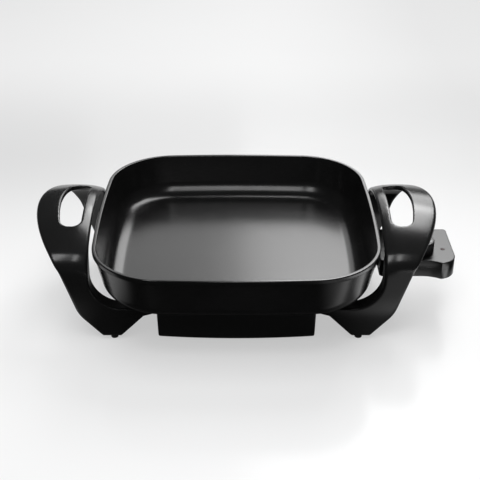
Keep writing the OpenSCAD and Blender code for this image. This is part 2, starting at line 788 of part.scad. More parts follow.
module shield_screws() {
    color(steel) at_four(post_d, post_d) translate([0, 0, shield_z]) rotate([180, 0, 0])
        screw(pan_screw_r, shield_t + pan_thread_l - screw_room, shield_head_r, shield_head_h);
}

// Stands a piece at each of the four screws that hold the housing together
module at_housing_screws() {
    in = housing_screw_inset;
    for (p = [[housing_x0 + in, -housing_front + in], [housing_x0 + in, housing_rear - in],
              [housing_x1 - in, housing_rear - in], [corner_x, -housing_front + in / 2]])
        translate([p.x, p.y, 0]) children();
}

// Openings that both halves of the housing share
module housing_openings() {
    translate([housing_x0 - through, -nose_w / 2 - seat_gap, pin_z - nose_h / 2 - seat_gap])
        cube([housing_wall + 2 * through, nose_w + 2 * seat_gap, nose_h + 2 * seat_gap]);
    translate([gland_x, housing_rear - housing_wall - through, split_z]) rotate([-90, 0, 0])
        rod(gland_neck_r + seat_gap, housing_wall + 2 * through);
}

module lower_housing() {
    color(moulded_black) difference() {
        union() {
            difference() {
                translate([0, 0, housing_z0]) linear_extrude(split_z - housing_z0)
                    polygon(housing_outline());
                translate([0, 0, housing_floor_z]) linear_extrude(housing_z1) polygon(housing_cavity());
            }
            at_housing_screws() translate([0, 0, housing_z0 + through])
                rod(housing_post_r, split_z - housing_z0 - through);
            translate([lamp_x, -lamp_y, housing_z0 + through])
                rod(lamp_post_r, lamp_seat_z - housing_z0 - through);
        }
        housing_openings();
        at_housing_screws() translate([0, 0, housing_z0 - through]) {
            rod(housing_screw_r + screw_gap, split_z);
            rod(housing_head_r + screw_gap, housing_seat_z - housing_z0 + through);
        }
    }
}

module upper_housing() {
    color(gloss_black) difference() {
        union() {
            difference() {
                translate([0, 0, split_z]) linear_extrude(housing_z1 - split_z)
                    polygon(housing_outline());
                translate([0, 0, split_z - through]) linear_extrude(housing_roof_z - split_z + through)
                    polygon(housing_cavity());
            }
            at_housing_screws() translate([0, 0, split_z])
                rod(housing_post_r, housing_z1 - split_z - through);
        }
        housing_openings();
        at_housing_screws() translate([0, 0, split_z - through])
            rod(housing_screw_r + seat_gap, housing_roof_z - split_z + through);
        translate([knob_x, -knob_y, split_z]) rod(knob_bush_r + seat_gap, housing_z1);
        translate([lamp_x, -lamp_y, split_z]) rod(lens_r + seat_gap, housing_z1);
    }
}

module plug_nose() {
    flange_half_w = nose_w / 2 + nose_flange;
    flange_h = pin_z + nose_h / 2 + nose_flange - housing_floor_z;
    color(moulded_black) difference() {
        union() {
            translate([nose_x, -nose_w / 2, pin_z - nose_h / 2])
                cube([nose_l + housing_wall + nose_flange_t, nose_w, nose_h]);
            translate([housing_x0 + housing_wall, -flange_half_w, housing_floor_z])
                cube([nose_flange_t, 2 * flange_half_w, flange_h]);
        }
        along_x(nose_x - through) rod(sensor_r + seat_gap, 2 * nose_l);
        at_pair(pin_y) along_x(nose_x - through) rod(pin_r + screw_gap, nose_l);
        at_pair(pin_y) along_x(contact_x) rod(contact_r + seat_gap, 2 * nose_l);
    }
}

module sensor_tube() {
    color(steel) {
        along_x(sensor_tip_x + sensor_r) rod(sensor_r, sensor_end_x - sensor_tip_x - sensor_r);
        translate([sensor_tip_x + sensor_r, 0, pin_z]) sphere(r = sensor_r);
    }
}

module contact_sleeves() {
    color(brass_tone) at_pair(pin_y) along_x(contact_x) tube(contact_r, pin_r + running_gap, contact_l);
}

// A block or strip of the switch: it starts at the fixed end and lies under the knob's axis
module switch_strip(z, l, half_w, t) {
    translate([switch_x, -knob_y - half_w, z]) cube([l, 2 * half_w, t]);
}

module switch_contact(z) {
    translate([knob_x - contact_back, -knob_y, z]) rod(blade_contact_r, contact_h);
}

module switch_base() {
    color(ceramic) switch_strip(housing_floor_z, switch_l, 2 * blade_half_w, switch_h);
}

module switch_spacer() {
    color(ceramic) switch_strip(fixed_z + blade_t, switch_l, blade_half_w + spacer_side, spacer_h);
}

module fixed_blade() {
    color(brass_tone) {
        switch_strip(fixed_z, switch_back + fixed_end, blade_half_w, blade_t);
        switch_contact(fixed_z + blade_t);
    }
}

module moving_blade() {
    color(brass_tone) {
        switch_strip(moving_z, switch_back + moving_end, blade_half_w, blade_t);
        switch_contact(moving_z - contact_h);
    }
}

module neon_lamp() {
    color(lamp_amber) translate([lamp_x, -lamp_y, lamp_seat_z]) {
        rod(lamp_r, lamp_h);
        translate([0, 0, lamp_h]) sphere(r = lamp_r);
    }
}

module lamp_lens() {
    color(lamp_amber) translate([lamp_x, -lamp_y, 0]) {
        translate([0, 0, housing_roof_z - lens_flange_t]) rod(lens_r + lens_flange, lens_flange_t);
        translate([0, 0, housing_roof_z]) rod(lens_r, housing_wall + lens_stand);
    }
}

module cord_gland() {
    inside = -housing_wall - gland_inner_l;
    color(rubber_black) translate([gland_x, housing_rear, split_z]) rotate([-90, 0, 0])
        rotate_extrude() polygon([
            [cord_r, inside], [gland_inner_r, inside], [gland_inner_r, -housing_wall],
            [gland_neck_r, -housing_wall], [gland_neck_r, 0], [gland_r, 0], [gland_r, gland_l / 3],
            [gland_neck_r, gland_l], [cord_r, gland_l]]);
}

module housing_screws() {
    shank_l = housing_roof_z - housing_seat_z - screw_room;
    color(steel) at_housing_screws() translate([0, 0, housing_seat_z]) rotate([180, 0, 0])
        screw(housing_screw_r, shank_l, housing_head_r, housing_head_h);
}

module at_knob(z) {
    translate([knob_x, -knob_y, z]) children();
}

module knob_bush() {
    bore_r = shaft_r + running_gap;
    flange_r = knob_bush_r + knob_flange_w;
    color(brass_tone) at_knob(housing_roof_z) rotate_extrude() polygon([
        [bore_r, -knob_flange_t], [flange_r, -knob_flange_t], [flange_r, 0],
        [knob_bush_r, 0], [knob_bush_r, housing_wall], [bore_r, housing_wall]]);
}

module knob() {
    edge = 1;
    flute_r = 1;
    color(gloss_black) at_knob(knob_z) difference() {
        rotate_extrude() polygon([
            [0, 0], [knob_r, 0], [knob_r, knob_h - edge], [knob_r - edge, knob_h], [0, knob_h]]);
        translate([0, 0, -through]) rod(shaft_r + seat_gap, shaft_top_z - knob_z + through);
        translate([0, 0, knob_h - cap_t]) rod(cap_r + seat_gap, knob_h);
        for (i = [0:knob_flutes - 1]) rotate(360 * i / knob_flutes)
            translate([knob_r + flute_r / 2, 0, edge]) rod(flute_r, knob_h - 3 * edge);
    }
}

// The pointer's outline, or its seat in the cap when widened by a clearance
module pointer_form(gap, h) {
    translate([cap_r - pointer_edge - pointer_l - gap, -pointer_w / 2 - gap, 0])
        cube([pointer_l + 2 * gap, pointer_w + 2 * gap, h]);
}

module knob_cap() {
    color(steel) at_knob(knob_z + knob_h - cap_t) rotate(pointer_turn) difference() {
        rod(cap_r, cap_t);
        translate([0, 0, cap_t - pointer_t]) pointer_form(seat_gap, cap_t);
    }
}

module knob_pointer() {
    color(mark_white) at_knob(knob_z + knob_h - pointer_t) rotate(pointer_turn) pointer_form(0, pointer_t);
}

module knob_shaft() {
    color(steel) at_knob(0) rotate_extrude() polygon([
        [0, shaft_low_z], [shaft_r, shaft_low_z], [shaft_r, clip_z], [shaft_r - clip_groove, clip_z],
        [shaft_r - clip_groove, clip_z + clip_t], [shaft_r, clip_z + clip_t],
        [shaft_r, shaft_top_z], [0, shaft_top_z]]);
}

module shaft_clip() {
    color(steel) at_knob(clip_z) difference() {
        tube(shaft_r + clip_w, shaft_r - clip_groove + seat_gap, clip_t);
        translate([0, -clip_mouth / 2, -through]) cube([2 * shaft_r, clip_mouth, clip_t + 2 * through]);
    }
}

placed() pan();
placed() heating_element();
placed() terminal_pins();
placed() terminal_bushes();
placed() terminal_guard();
placed() guard_screws();
placed() left_handle();
placed() right_handle();
placed() handle_screws();
placed() foot(-1, -1);  // front_left_foot
placed() foot(1, -1);  // front_right_foot
placed() foot(-1, 1);  // rear_left_foot
placed() foot(1, 1);  // rear_right_foot
placed() heat_shield();
placed() reflector_plate();
placed() spacer_sleeves();
placed() shield_screws();
placed() lower_housing();
placed() upper_housing();
placed() plug_nose();
placed() sensor_tube();
placed() contact_sleeves();
placed() switch_base();
placed() switch_spacer();
placed() fixed_blade();
placed() moving_blade();
placed() neon_lamp();
placed() lamp_lens();
placed() cord_gland();
placed() housing_screws();
placed() knob_bush();
placed() knob();
placed() knob_cap();
placed() knob_pointer();
placed() knob_shaft();
placed() shaft_clip();
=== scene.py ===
import math

import bmesh
import bpy
import numpy as np
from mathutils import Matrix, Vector


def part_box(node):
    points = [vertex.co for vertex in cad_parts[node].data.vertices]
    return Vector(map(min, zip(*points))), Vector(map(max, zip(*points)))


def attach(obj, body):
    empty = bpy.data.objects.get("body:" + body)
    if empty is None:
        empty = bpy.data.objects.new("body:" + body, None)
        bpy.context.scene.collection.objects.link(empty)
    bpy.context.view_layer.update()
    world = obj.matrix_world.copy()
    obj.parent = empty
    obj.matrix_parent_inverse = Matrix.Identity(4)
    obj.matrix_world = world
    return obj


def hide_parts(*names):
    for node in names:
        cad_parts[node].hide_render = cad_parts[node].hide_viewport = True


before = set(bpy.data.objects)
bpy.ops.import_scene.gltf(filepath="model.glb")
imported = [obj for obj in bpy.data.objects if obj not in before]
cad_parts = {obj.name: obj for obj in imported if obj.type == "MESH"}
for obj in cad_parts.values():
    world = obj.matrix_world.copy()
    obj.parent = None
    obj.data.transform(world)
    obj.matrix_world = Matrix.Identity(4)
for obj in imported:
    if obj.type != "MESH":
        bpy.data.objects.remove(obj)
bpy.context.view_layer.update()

# Pan: die-cast aluminium with a glossy black non-stick coat inside and out. The wall leans out from
# a wide cove to a thicker band at the rim. Four handle bosses and the terminal block are cast on.
mm = 0.001
pan_low, pan_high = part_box("pan")
pan_x = (pan_low[0] + pan_high[0]) / 2
rim_half = 159.95
side_r, side_steps = 1600.0, 30
corner_r, corner_steps = 79.0, 26
rim_z = 115.0
floor_z = 65.0
bottom_z = 57.0
floor_in = 42.0
wall_t = 3.5
wall_lean = math.radians(12)
cove_r = 23.0
bottom_r = 26.0
band_h = 6.5
band_out = 2.0
rim_r = 1.2
arm_top_z = 41.0
boss_u, boss_y = 102.0, 87.5
boss_r, boss_flare, boss_root = 7.5, 2.6, 2.0
block_x0, block_x1 = 117.43, 145.43
block_half_w = 29.6
block_low_z, block_top_z = 47.0, 62.0
well_x0, well_x1 = block_x0 - 15.6, 150.0
well_r = 3.04


class Wire:
    """One output socket of a node tree. Arithmetic on it adds Math nodes."""

    def __init__(self, tree, socket):
        self.tree = tree
        self.socket = socket

    def make(self, kind, settings=None, inputs=None, out=0):
        """Adds any node: first its settings, then the values or links of its sockets."""
        node = self.tree.nodes.new(kind)
        for key, value in (settings or {}).items():
            setattr(node, key, value)
        for key, value in (inputs or {}).items():
            self.join(value, node.inputs[key])
        return Wire(self.tree, node.outputs[out])

    def join(self, value, socket):
        """Links a wire to a socket, or sets a plain value on it."""
        if isinstance(value, Wire):
            self.tree.links.new(value.socket, socket)
        else:
            socket.default_value = value

    def math(self, operation, *others):
        """A Math node whose first value is this wire."""
        return self.make("ShaderNodeMath", {"operation": operation}, dict(enumerate((self, *others))))

    def __add__(self, other):
        return self.math("ADD", other)

    def __sub__(self, other):
        return self.math("SUBTRACT", other)

    def __rsub__(self, other):
        return self.make("ShaderNodeMath", {"operation": "SUBTRACT"}, {0: other, 1: self})

    def __mul__(self, other):
        return self.math("MULTIPLY", other)

    def __truediv__(self, other):
        return self.math("DIVIDE", other)

    def __lt__(self, other):
        return self.math("LESS_THAN", other)

    __radd__ = __add__
    __rmul__ = __mul__

    def clouds(self, scale, detail=2.0):
        """Soft noise over these coordinates, from 0 to 1."""
        return self.make("ShaderNodeTexNoise", {}, {"Vector": self, "Scale": scale, "Detail": detail})

    def step(self, low, high):
        """Rises from 0 to 1 as this wire goes from low to high."""
        return self.make("ShaderNodeMapRange", {"interpolation_type": "SMOOTHSTEP"},
                         {"Value": self, "From Min": low, "From Max": high})

    def tint(self, dark, light):
        """A colour between two, by this wire."""
        return self.make("ShaderNodeMix", {"data_type": "RGBA"}, {0: self, 6: dark, 7: light}, out=2)

    def relief(self, depth, strength=1.0):
        """A normal that follows this wire as a height of the given depth in metres."""
        return self.make("ShaderNodeBump", {}, {"Height": self, "Distance": depth, "Strength": strength})

    def part(self, axis):
        """The X, Y or Z of these coordinates."""
        return self.make("ShaderNodeSeparateXYZ", {}, {"Vector": self}, out=axis)


def finish(name, constants):
    """A material: returns it, a way to paint its surface, and the piece's own coordinates."""
    material = bpy.data.materials.new(name)
    material.use_nodes = True
    tree = material.node_tree
    surface = tree.nodes["Principled BSDF"]
    for key, value in constants.items():
        surface.inputs[key].default_value = value
    place = Wire(tree, tree.nodes.new("ShaderNodeTexCoord").outputs["Object"])

    def paint(wires):
        for key, value in wires.items():
            place.join(value, surface.inputs[key])
    return material, paint, place


def grey(shade):
    return (shade, shade, shade, 1)


def arc(centre, r, first, last, count):
    """Points of an arc about a centre, from one angle to another."""
    x, y = centre
    return [(x + r * math.cos(a), y + r * math.sin(a)) for a in np.linspace(first, last, count)]


def rounded(corners, closed=True, turn=7.0):
    """An outline from (x, y, radius) corners, each turned into an arc of that radius."""
    points = []
    count = len(corners)
    for i, (x, y, r) in enumerate(corners):
        here = np.array((x, y))
        if r == 0 or (not closed and i in (0, count - 1)):
            points.append(here)
            continue
        back = np.array(corners[i - 1][:2]) - here
        ahead = np.array(corners[(i + 1) % count][:2]) - here
        back /= np.linalg.norm(back)
        ahead /= np.linalg.norm(ahead)
        half = math.acos(np.clip(back @ ahead, -1, 1)) / 2
        middle = (back + ahead) / np.linalg.norm(back + ahead)
        centre = here + middle * r / math.sin(half)
        first = here + back * r / math.tan(half) - centre
        last = here + ahead * r / math.tan(half) - centre
        start = math.atan2(first[1], first[0])
        sweep = math.atan2(last[1], last[0]) - start
        sweep = (sweep + math.pi) % (2 * math.pi) - math.pi
        steps = max(3, math.ceil(abs(math.degrees(sweep)) / turn))
        points += arc(centre, r, start, start + sweep, steps + 1)
    return np.array(points)


def piece(name, points, faces=(), edges=()):
    """An object from points in millimetres about the middle of the pan."""
    mesh = bpy.data.meshes.new(name)
    mesh.from_pydata([(pan_x + x * mm, y * mm, z * mm) for x, y, z in points], edges, faces)
    made = bpy.data.objects.new(name, mesh)
    bpy.context.scene.collection.objects.link(made)
    return made


def node_tree(name, inputs):
    """A Geometry Nodes tree with named inputs, and a wire for each of them."""
    tree = bpy.data.node_groups.new(name, "GeometryNodeTree")
    tree.interface.new_socket("Geometry", in_out="INPUT", socket_type="NodeSocketGeometry")
    for label, kind in inputs.items():
        tree.interface.new_socket(label, in_out="INPUT", socket_type="NodeSocket" + kind)
    tree.interface.new_socket("Geometry", in_out="OUTPUT", socket_type="NodeSocketGeometry")
    entry = tree.nodes.new("NodeGroupInput")
    return tree, {socket.name: Wire(tree, socket) for socket in entry.outputs if socket.name}


def end_tree(made, material):
    """Closes a tree: its instances become a mesh in one material."""
    solid = made.make("GeometryNodeRealizeInstances", {}, {"Geometry": made})
    dressed = solid.make("GeometryNodeSetMaterial", {}, {"Geometry": solid, "Material": material})
    leave = made.tree.nodes.new("NodeGroupOutput")
    made.join(dressed, leave.inputs["Geometry"])


def grow(made, tree, sizes):
    """Runs a tree on an object and keeps what it makes as that object's plain mesh."""
    modifier = made.modifiers.new("grow", "NODES")
    modifier.node_group = tree
    for item in tree.interface.items_tree:
        if item.in_out == "INPUT" and item.name in sizes:
            modifier[item.identifier] = sizes[item.name]
    settle(made)


def settle(made):
    """Turns an object and its modifiers into a plain mesh."""
    graph = bpy.context.evaluated_depsgraph_get()
    mesh = bpy.data.meshes.new_from_object(made.evaluated_get(graph), depsgraph=graph)
    made.modifiers.clear()
    mesh.name = made.name
    made.data = mesh


def tidy(made, sharp=35.0, fill=False):
    """Welds a mesh, turns its faces outwards and shades it smooth; fill closes its holes."""
    mesh = bmesh.new()
    mesh.from_mesh(made.data)
    bmesh.ops.remove_doubles(mesh, verts=mesh.verts, dist=0.01 * mm)
    if fill:
        bmesh.ops.holes_fill(mesh, edges=[e for e in mesh.edges if e.is_boundary], sides=0)
    bmesh.ops.recalc_face_normals(mesh, faces=mesh.faces)
    mesh.to_mesh(made.data)
    mesh.free()
    made.data.shade_smooth()
    made.data.set_sharp_from_angle(angle=math.radians(sharp))


def coat(made, material):
    """Leaves an object with one material."""
    made.data.materials.clear()
    made.data.materials.append(material)


def marked(name, path, section, loop):
    """Points of a path and a section for a tree; the attribute "section" tells them apart."""
    count = len(path)
    edges = [(i, (i + 1) % count) for i in range(count)] if loop else []
    edges += [(count + i, count + i + 1) for i in range(len(section) - 1)]
    made = piece(name, [*path, *((x - pan_x / mm, -z, 0) for x, z in section)], edges=edges)
    mark = made.data.attributes.new("section", "BOOLEAN", "POINT")
    mark.data.foreach_set("value", [False] * count + [True] * len(section))
    return made


def split_section(wires):
    """In a tree: the section as a curve, and the rest of the points."""
    start = wires["Geometry"]
    mark = start.make("GeometryNodeInputNamedAttribute", {"data_type": "BOOLEAN"}, {"Name": "section"})
    parts = start.make("GeometryNodeSeparateGeometry", {"domain": "POINT"},
                       {"Geometry": start, "Selection": mark}, out="Selection")
    rest = Wire(start.tree, parts.socket.node.outputs["Inverted"])
    return parts.make("GeometryNodeMeshToCurve", {}, {"Mesh": parts}), rest


def sweep_tree():
    """Sweeps a section around a closed path that lies flat."""
    tree, wires = node_tree("section_around_rim", {"Lift": "Float", "Finish": "Material"})
    section, rest = split_section(wires)
    path = rest.make("GeometryNodeMeshToCurve", {}, {"Mesh": rest})
    path = path.make("GeometryNodeSetCurveNormal", {"mode": "Z_UP"}, {"Curve": path})
    swept = path.make("GeometryNodeCurveToMesh", {}, {"Curve": path, "Profile Curve": section})
    lift = swept.make("ShaderNodeCombineXYZ", {}, {"Z": wires["Lift"]})
    raised = swept.make("GeometryNodeSetPosition", {}, {"Geometry": swept, "Offset": lift})
    end_tree(raised, wires["Finish"])
    return tree


def turn_section(section, steps):
    """In a tree: a section turned about the Z axis and closed along it."""
    ring = section.make("GeometryNodeCurvePrimitiveCircle", {"mode": "RADIUS"},
                        {"Resolution": steps, "Radius": 0.0005 * mm})
    ring = ring.make("GeometryNodeSetCurveNormal", {"mode": "Z_UP"}, {"Curve": ring})
    solid = ring.make("GeometryNodeCurveToMesh", {}, {"Curve": ring, "Profile Curve": section})
    return solid.make("GeometryNodeMergeByDistance", {}, {"Geometry": solid, "Distance": 0.003 * mm})


def stand_at(spots, shape, material):
    """Ends a tree with a copy of a shape at each spot, turned to the spot's "facing"."""
    facing = shape.make("GeometryNodeInputNamedAttribute", {"data_type": "FLOAT_VECTOR"},
                        {"Name": "facing"})
    way = facing.make("FunctionNodeAlignRotationToVector", {"axis": "Z"}, {"Vector": facing})
    spots = spots.make("GeometryNodeMeshToPoints", {}, {"Mesh": spots})
    end_tree(spots.make("GeometryNodeInstanceOnPoints", {},
                        {"Points": spots, "Instance": shape, "Rotation": way}), material)


def turned_tree():
    """Turns a section and stands a copy of it at each spot."""
    tree, wires = node_tree("turned_pieces", {"Steps Around": "Int", "Finish": "Material"})
    section, spots = split_section(wires)
    stand_at(spots, turn_section(section, wires["Steps Around"]), wires["Finish"])
    return tree


turned_pieces = turned_tree()


def aimed(name, spots, corners, facing):
    """A section from (radius, height, rounding) corners, and the spots to turn it at."""
    section = rounded(corners, closed=False)
    made = marked(name, spots, section, loop=False)
    aim = made.data.attributes.new("facing", "FLOAT_VECTOR", "POINT")
    aim.data.foreach_set("vector", list(facing) * (len(spots) + len(section)))
    return made


def turned(name, corners, spots, material, facing=(0, 0, 1), steps=48):
    """Pieces turned from a section, one at each spot."""
    made = aimed(name, spots, corners, facing)
    grow(made, turned_pieces, {"Steps Around": steps, "Finish": material})
    tidy(made)
    return made


def four(u, y, z):
    """One spot in each quarter of the object."""
    return [(sx * u, sy * y, z) for sx in (-1, 1) for sy in (-1, 1)]


def box_piece(name, low, high, edge):
    """A block with rounded edges, between two corners in millimetres."""
    made = piece(name, [])
    mesh = bmesh.new()
    bmesh.ops.create_cube(mesh, size=1)
    for vert in mesh.verts:
        x, y, z = [low[k] + (high[k] - low[k]) * (vert.co[k] + 0.5) for k in range(3)]
        vert.co = (pan_x + x * mm, y * mm, z * mm)
    bmesh.ops.bevel(mesh, geom=mesh.edges[:], offset=edge * mm, segments=3, profile=0.5, affect="EDGES")
    mesh.to_mesh(made.data)
    mesh.free()
    tidy(made)
    return made


def combine(main, others):
    """Joins other objects' meshes into one object."""
    mesh = bmesh.new()
    mesh.from_mesh(main.data)
    for other in others:
        mesh.from_mesh(other.data)
        bpy.data.objects.remove(other)
    mesh.to_mesh(main.data)
    mesh.free()


def carve(made, tools):
    """Cuts other objects out of one, then drops them."""
    for tool in tools:
        cut = made.modifiers.new("cut", "BOOLEAN")
        cut.operation = "DIFFERENCE"
        cut.solver = "EXACT"
        cut.object = tool
    settle(made)
    for tool in tools:
        bpy.data.objects.remove(tool)


def peg(name, start, end, r):
    """A plain rod between two points in millimetres, to cut holes with."""
    steps = 40
    start, end = np.array(start, float), np.array(end, float)
    axis = (end - start) / np.linalg.norm(end - start)
    across = np.cross(axis, (0, 0, 1) if abs(axis[2]) < 0.5 else (1, 0, 0))
    across /= np.linalg.norm(across)
    other = np.cross(axis, across)
    turn = [2 * math.pi * i / steps for i in range(steps)]
    ring = [r * (math.cos(a) * across + math.sin(a) * other) for a in turn]
    points = [start + p for p in ring] + [end + p for p in ring]
    faces = [(i, (i + 1) % steps, steps + (i + 1) % steps, steps + i) for i in range(steps)]
    faces += [tuple(reversed(range(steps))), tuple(range(steps, 2 * steps))]
    made = piece(name, points, faces)
    tidy(made)
    return made


pan_coat, paint, place = finish("pan_coat", {"IOR": 1.5})
flake = place.make("ShaderNodeTexVoronoi", {}, {"Vector": place, "Scale": 1500.0}) < 0.13
haze = place.clouds(45.0, 3.0)
rim_edge = place.part("Z").step((rim_z - 1.3) * mm, (rim_z - 0.8) * mm)
paint({
    "Base Color": (flake * 0.5 + haze * 0.3).tint(grey(0.003), grey(0.014)),
    "Roughness": 0.18 + haze * 0.07 + flake * 0.05 - rim_edge * 0.06,
    "Normal": (place.clouds(620.0, 3.0) * 0.7 + flake * 0.3).relief(0.00003, 0.35),
})

side_c = rim_half - side_r
arc_gap = side_r - corner_r
corner_c = (side_c + math.sqrt(2 * arc_gap ** 2 - side_c ** 2)) / 2
side_a = math.atan2(corner_c, corner_c - side_c)
quarter = (arc((side_c, 0), side_r, -side_a, side_a, side_steps + 1)[:-1]
           + arc((corner_c, corner_c), corner_r, side_a, math.pi / 2 - side_a, corner_steps + 1)[:-1])
rim_path = []
for _ in range(4):
    rim_path += [(x, y, 0) for x, y in quarter]
    quarter = [(-y, x) for x, y in quarter]


def wall_at(z):
    """Where the outer wall stands at a height, from the rim's outer edge."""
    return -band_out - (rim_z - band_h - z) * math.tan(wall_lean)


wall_w = wall_t / math.cos(wall_lean)
pan_section = rounded([
    (-floor_in, bottom_z, 0), (wall_at(bottom_z), bottom_z, bottom_r),
    (wall_at(rim_z - band_h), rim_z - band_h, 1.0), (0, rim_z - band_h + band_out, 0.8),
    (0, rim_z, rim_r), (wall_at(rim_z) - wall_w, rim_z, rim_r),
    (wall_at(floor_z) - wall_w, floor_z, cove_r), (-floor_in, floor_z, 0)], closed=False, turn=5.0)
pan = marked("pan_casting", rim_path, [(x, z - rim_z) for x, z in pan_section], loop=True)
grow(pan, sweep_tree(), {"Lift": rim_z * mm, "Finish": pan_coat})
tidy(pan, sharp=50, fill=True)
boss_h = bottom_z - arm_top_z
boss_section = [
    (0, 0, 0), (boss_r, 0, 1), (boss_r, boss_h, 2.5), (boss_r + boss_flare, boss_h, 0),
    (boss_r + boss_flare, boss_h + boss_root, 0), (0, boss_h + boss_root, 0)]
bosses = turned("pan_bosses", boss_section, four(boss_u, boss_y, arm_top_z), pan_coat)
block = box_piece("terminal_block", (block_x0, -block_half_w, block_low_z),
                  (block_x1, block_half_w, block_top_z), 2.0)
combine(block, [bosses])
for casting in (pan, block):
    carve(casting, [peg("sensor_well", (well_x0, 0, bottom_z), (well_x1, 0, bottom_z), well_r)])
combine(pan, [block])
coat(pan, pan_coat)
pan.data.shade_smooth()
pan.data.set_sharp_from_angle(angle=math.radians(40))
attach(pan, "cooker")
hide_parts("pan")

# Heating element and terminals: a sheathed steel tube cast into the floor, whose two ends come out
# through ceramic bushes as plain pins. A pressed steel guard, screwed to the block, shields them.
steel, paint, place = finish("bright_steel", {"Metallic": 1.0})
brushed = place.make("ShaderNodeMapping", {}, {"Vector": place, "Scale": (40.0, 900.0, 900.0)})
streaks = brushed.clouds(1.0, 3.0)
paint({
    "Base Color": streaks.tint(grey(0.42), grey(0.60)),
    "Roughness": 0.24 + streaks * 0.18,
    "Normal": streaks.relief(0.00002, 0.3),
})
brass, paint, place = finish("plain_brass", {"Metallic": 1.0})
tarnish = place.clouds(220.0, 4.0)
paint({
    "Base Color": tarnish.tint((0.45, 0.30, 0.10, 1), (0.72, 0.54, 0.24, 1)),
    "Roughness": 0.22 + tarnish * 0.2,
    "Normal": place.clouds(1500.0).relief(0.00001, 0.3),
})
bisque, paint, place = finish("unglazed_ceramic", {})
pores = place.clouds(1800.0, 4.0)
paint({
    "Base Color": pores.tint((0.62, 0.58, 0.50, 1), (0.84, 0.80, 0.73, 1)),
    "Roughness": 0.62 + pores * 0.2,
    "Normal": pores.relief(0.00004, 0.5),
})


def dress(material, *names):
    """Gives nodes that keep their own shape a finish."""
    for name in names:
        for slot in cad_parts[name].material_slots:
            slot.material = material


guard_x0, guard_x1 = block_x1, block_x1 + 19.0
guard_sheet = 1.5
guard_half_w, guard_half_h = 18.1, 6.6
pin_y, pin_z = 11.0, bottom_z
ear_y = 24.6
tube_hole_r, bush_hole_r, ear_hole_r = 3.3, 4.6, 1.8
guard_low_z, guard_high_z = pin_z - guard_half_h - guard_sheet, pin_z + guard_half_h + guard_sheet
cup_lap, cup_floor = 0.2, 1.2


def guard_tools():
    """Pegs for the holes of the guard: for the sensor tube, the two bushes and the two screws."""
    return [peg("hole", (guard_x0 - 1, y, pin_z), (guard_x0 + 3, y, pin_z), r)
            for y, r in ((0, tube_hole_r), (-pin_y, bush_hole_r), (pin_y, bush_hole_r),
                         (-ear_y, ear_hole_r), (ear_y, ear_hole_r))]


guard = box_piece("terminal_guard_pressing", (guard_x0, -block_half_w, guard_low_z),
                  (guard_x0 + guard_sheet, block_half_w, guard_high_z), 0.4)
cup = box_piece("cup", (guard_x0 + cup_lap, -guard_half_w - guard_sheet, guard_low_z),
                (guard_x1, guard_half_w + guard_sheet, guard_high_z), 0.7)
cup_hollow = box_piece("cup_hollow", (guard_x0 + cup_floor, -guard_half_w, pin_z - guard_half_h),
                       (guard_x1 + 3, guard_half_w, pin_z + guard_half_h), 0.5)
carve(guard, guard_tools())
carve(cup, [cup_hollow] + guard_tools())
combine(guard, [cup])
tidy(guard, 30)
coat(guard, steel)
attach(guard, "cooker")
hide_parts("terminal_guard")
dress(steel, "heating_element")
dress(brass, "terminal_pins")
dress(bisque, "terminal_bushes")

# Handles: each is one satin black phenolic moulding, an arch with a hand opening that runs down into
# two legs and turns in under the pan as arms. Its edges are softly rounded and it has no joints.
inner_u = 163.0
handle_w = 66.0
outer_u = inner_u + handle_w
handle_top_z = 130.5
tip_z = 131.52
crown_r = 165.0
shoulder_r = 28.0
grip_t = 6.0
under_bend_r = 14.0
grip_plan_r = 170.0
leg_y = 97.0
leg_t = 19.0
leg_low_z = 5.0
arm_end_u = boss_u - boss_r - 1
edge_r, grip_edge_r, slot_edge_r = 2.4, 2.6, 1.5
beyond = 12.0
hump_u, hump_r = inner_u + handle_w / 2, 200.0
hump_low_z, hump_rise = 72.0, 28.0
roll_u, roll_r = inner_u + 18, 95.0
under_follow = 0.6
counterbore_r = 4.3
counterbore_z = 35.0
front_view = rounded([
    (inner_u - 12, leg_low_z, 2), (inner_u + 14, 33, 40), (inner_u + 32, 88, 30),
    (inner_u + 42, 102, 40), (outer_u + beyond, tip_z, 0), (outer_u + beyond, handle_top_z + beyond, 0),
    (inner_u, handle_top_z + beyond, 0), (inner_u, arm_top_z, 36), (arm_end_u, arm_top_z, 1),
    (arm_end_u, arm_top_z - 7, 2), (boss_u + 2, arm_top_z - 10, 3), (inner_u - 33, leg_low_z, 2)],
    turn=4.0)


def arch_face(crown, y, r):
    """One face of the arch from the side: up one leg, over the crown and down the other."""
    crown_z = handle_top_z - crown_r
    bend_z = crown_z + math.sqrt((crown - r) ** 2 - (y - r) ** 2)
    meet = math.atan2(bend_z - crown_z, y - r)
    bend = arc((y - r, bend_z), r, 0, meet, 16)
    over = arc((0, crown_z), crown, meet, math.pi - meet, 60)
    return [(y, leg_low_z), *bend, *over[1:-1], *((-p, q) for p, q in reversed(bend)), (-y, leg_low_z)]


over_view = np.array(arch_face(crown_r, leg_y, shoulder_r))
under_view = np.array(arch_face(crown_r - grip_t, leg_y - leg_t, under_bend_r))
plan_turn = math.asin((leg_y + beyond) / grip_plan_r)
plan_c = outer_u - grip_plan_r
plan_view = np.array([(arm_end_u - beyond, leg_y + beyond), (arm_end_u - beyond, -leg_y - beyond),
                      *arc((plan_c, 0), grip_plan_r, -plan_turn, plan_turn, 49)])
slot_u0, slot_u1, slot_half = inner_u + 11.5, inner_u + 39.0, 51.0
slot_in_r, slot_out_r, slot_bow_r = 11.0, 10.0, 220.0
slot_bow_c = slot_u1 - slot_bow_r
slot_corner_u = slot_bow_c + math.sqrt(slot_bow_r ** 2 - slot_half ** 2)
bow_end = math.asin((slot_half - slot_out_r) / slot_bow_r)
slot_bow = [(x, y, 0) for x, y in arc((slot_bow_c, 0), slot_bow_r, -bow_end, bow_end, 25)]
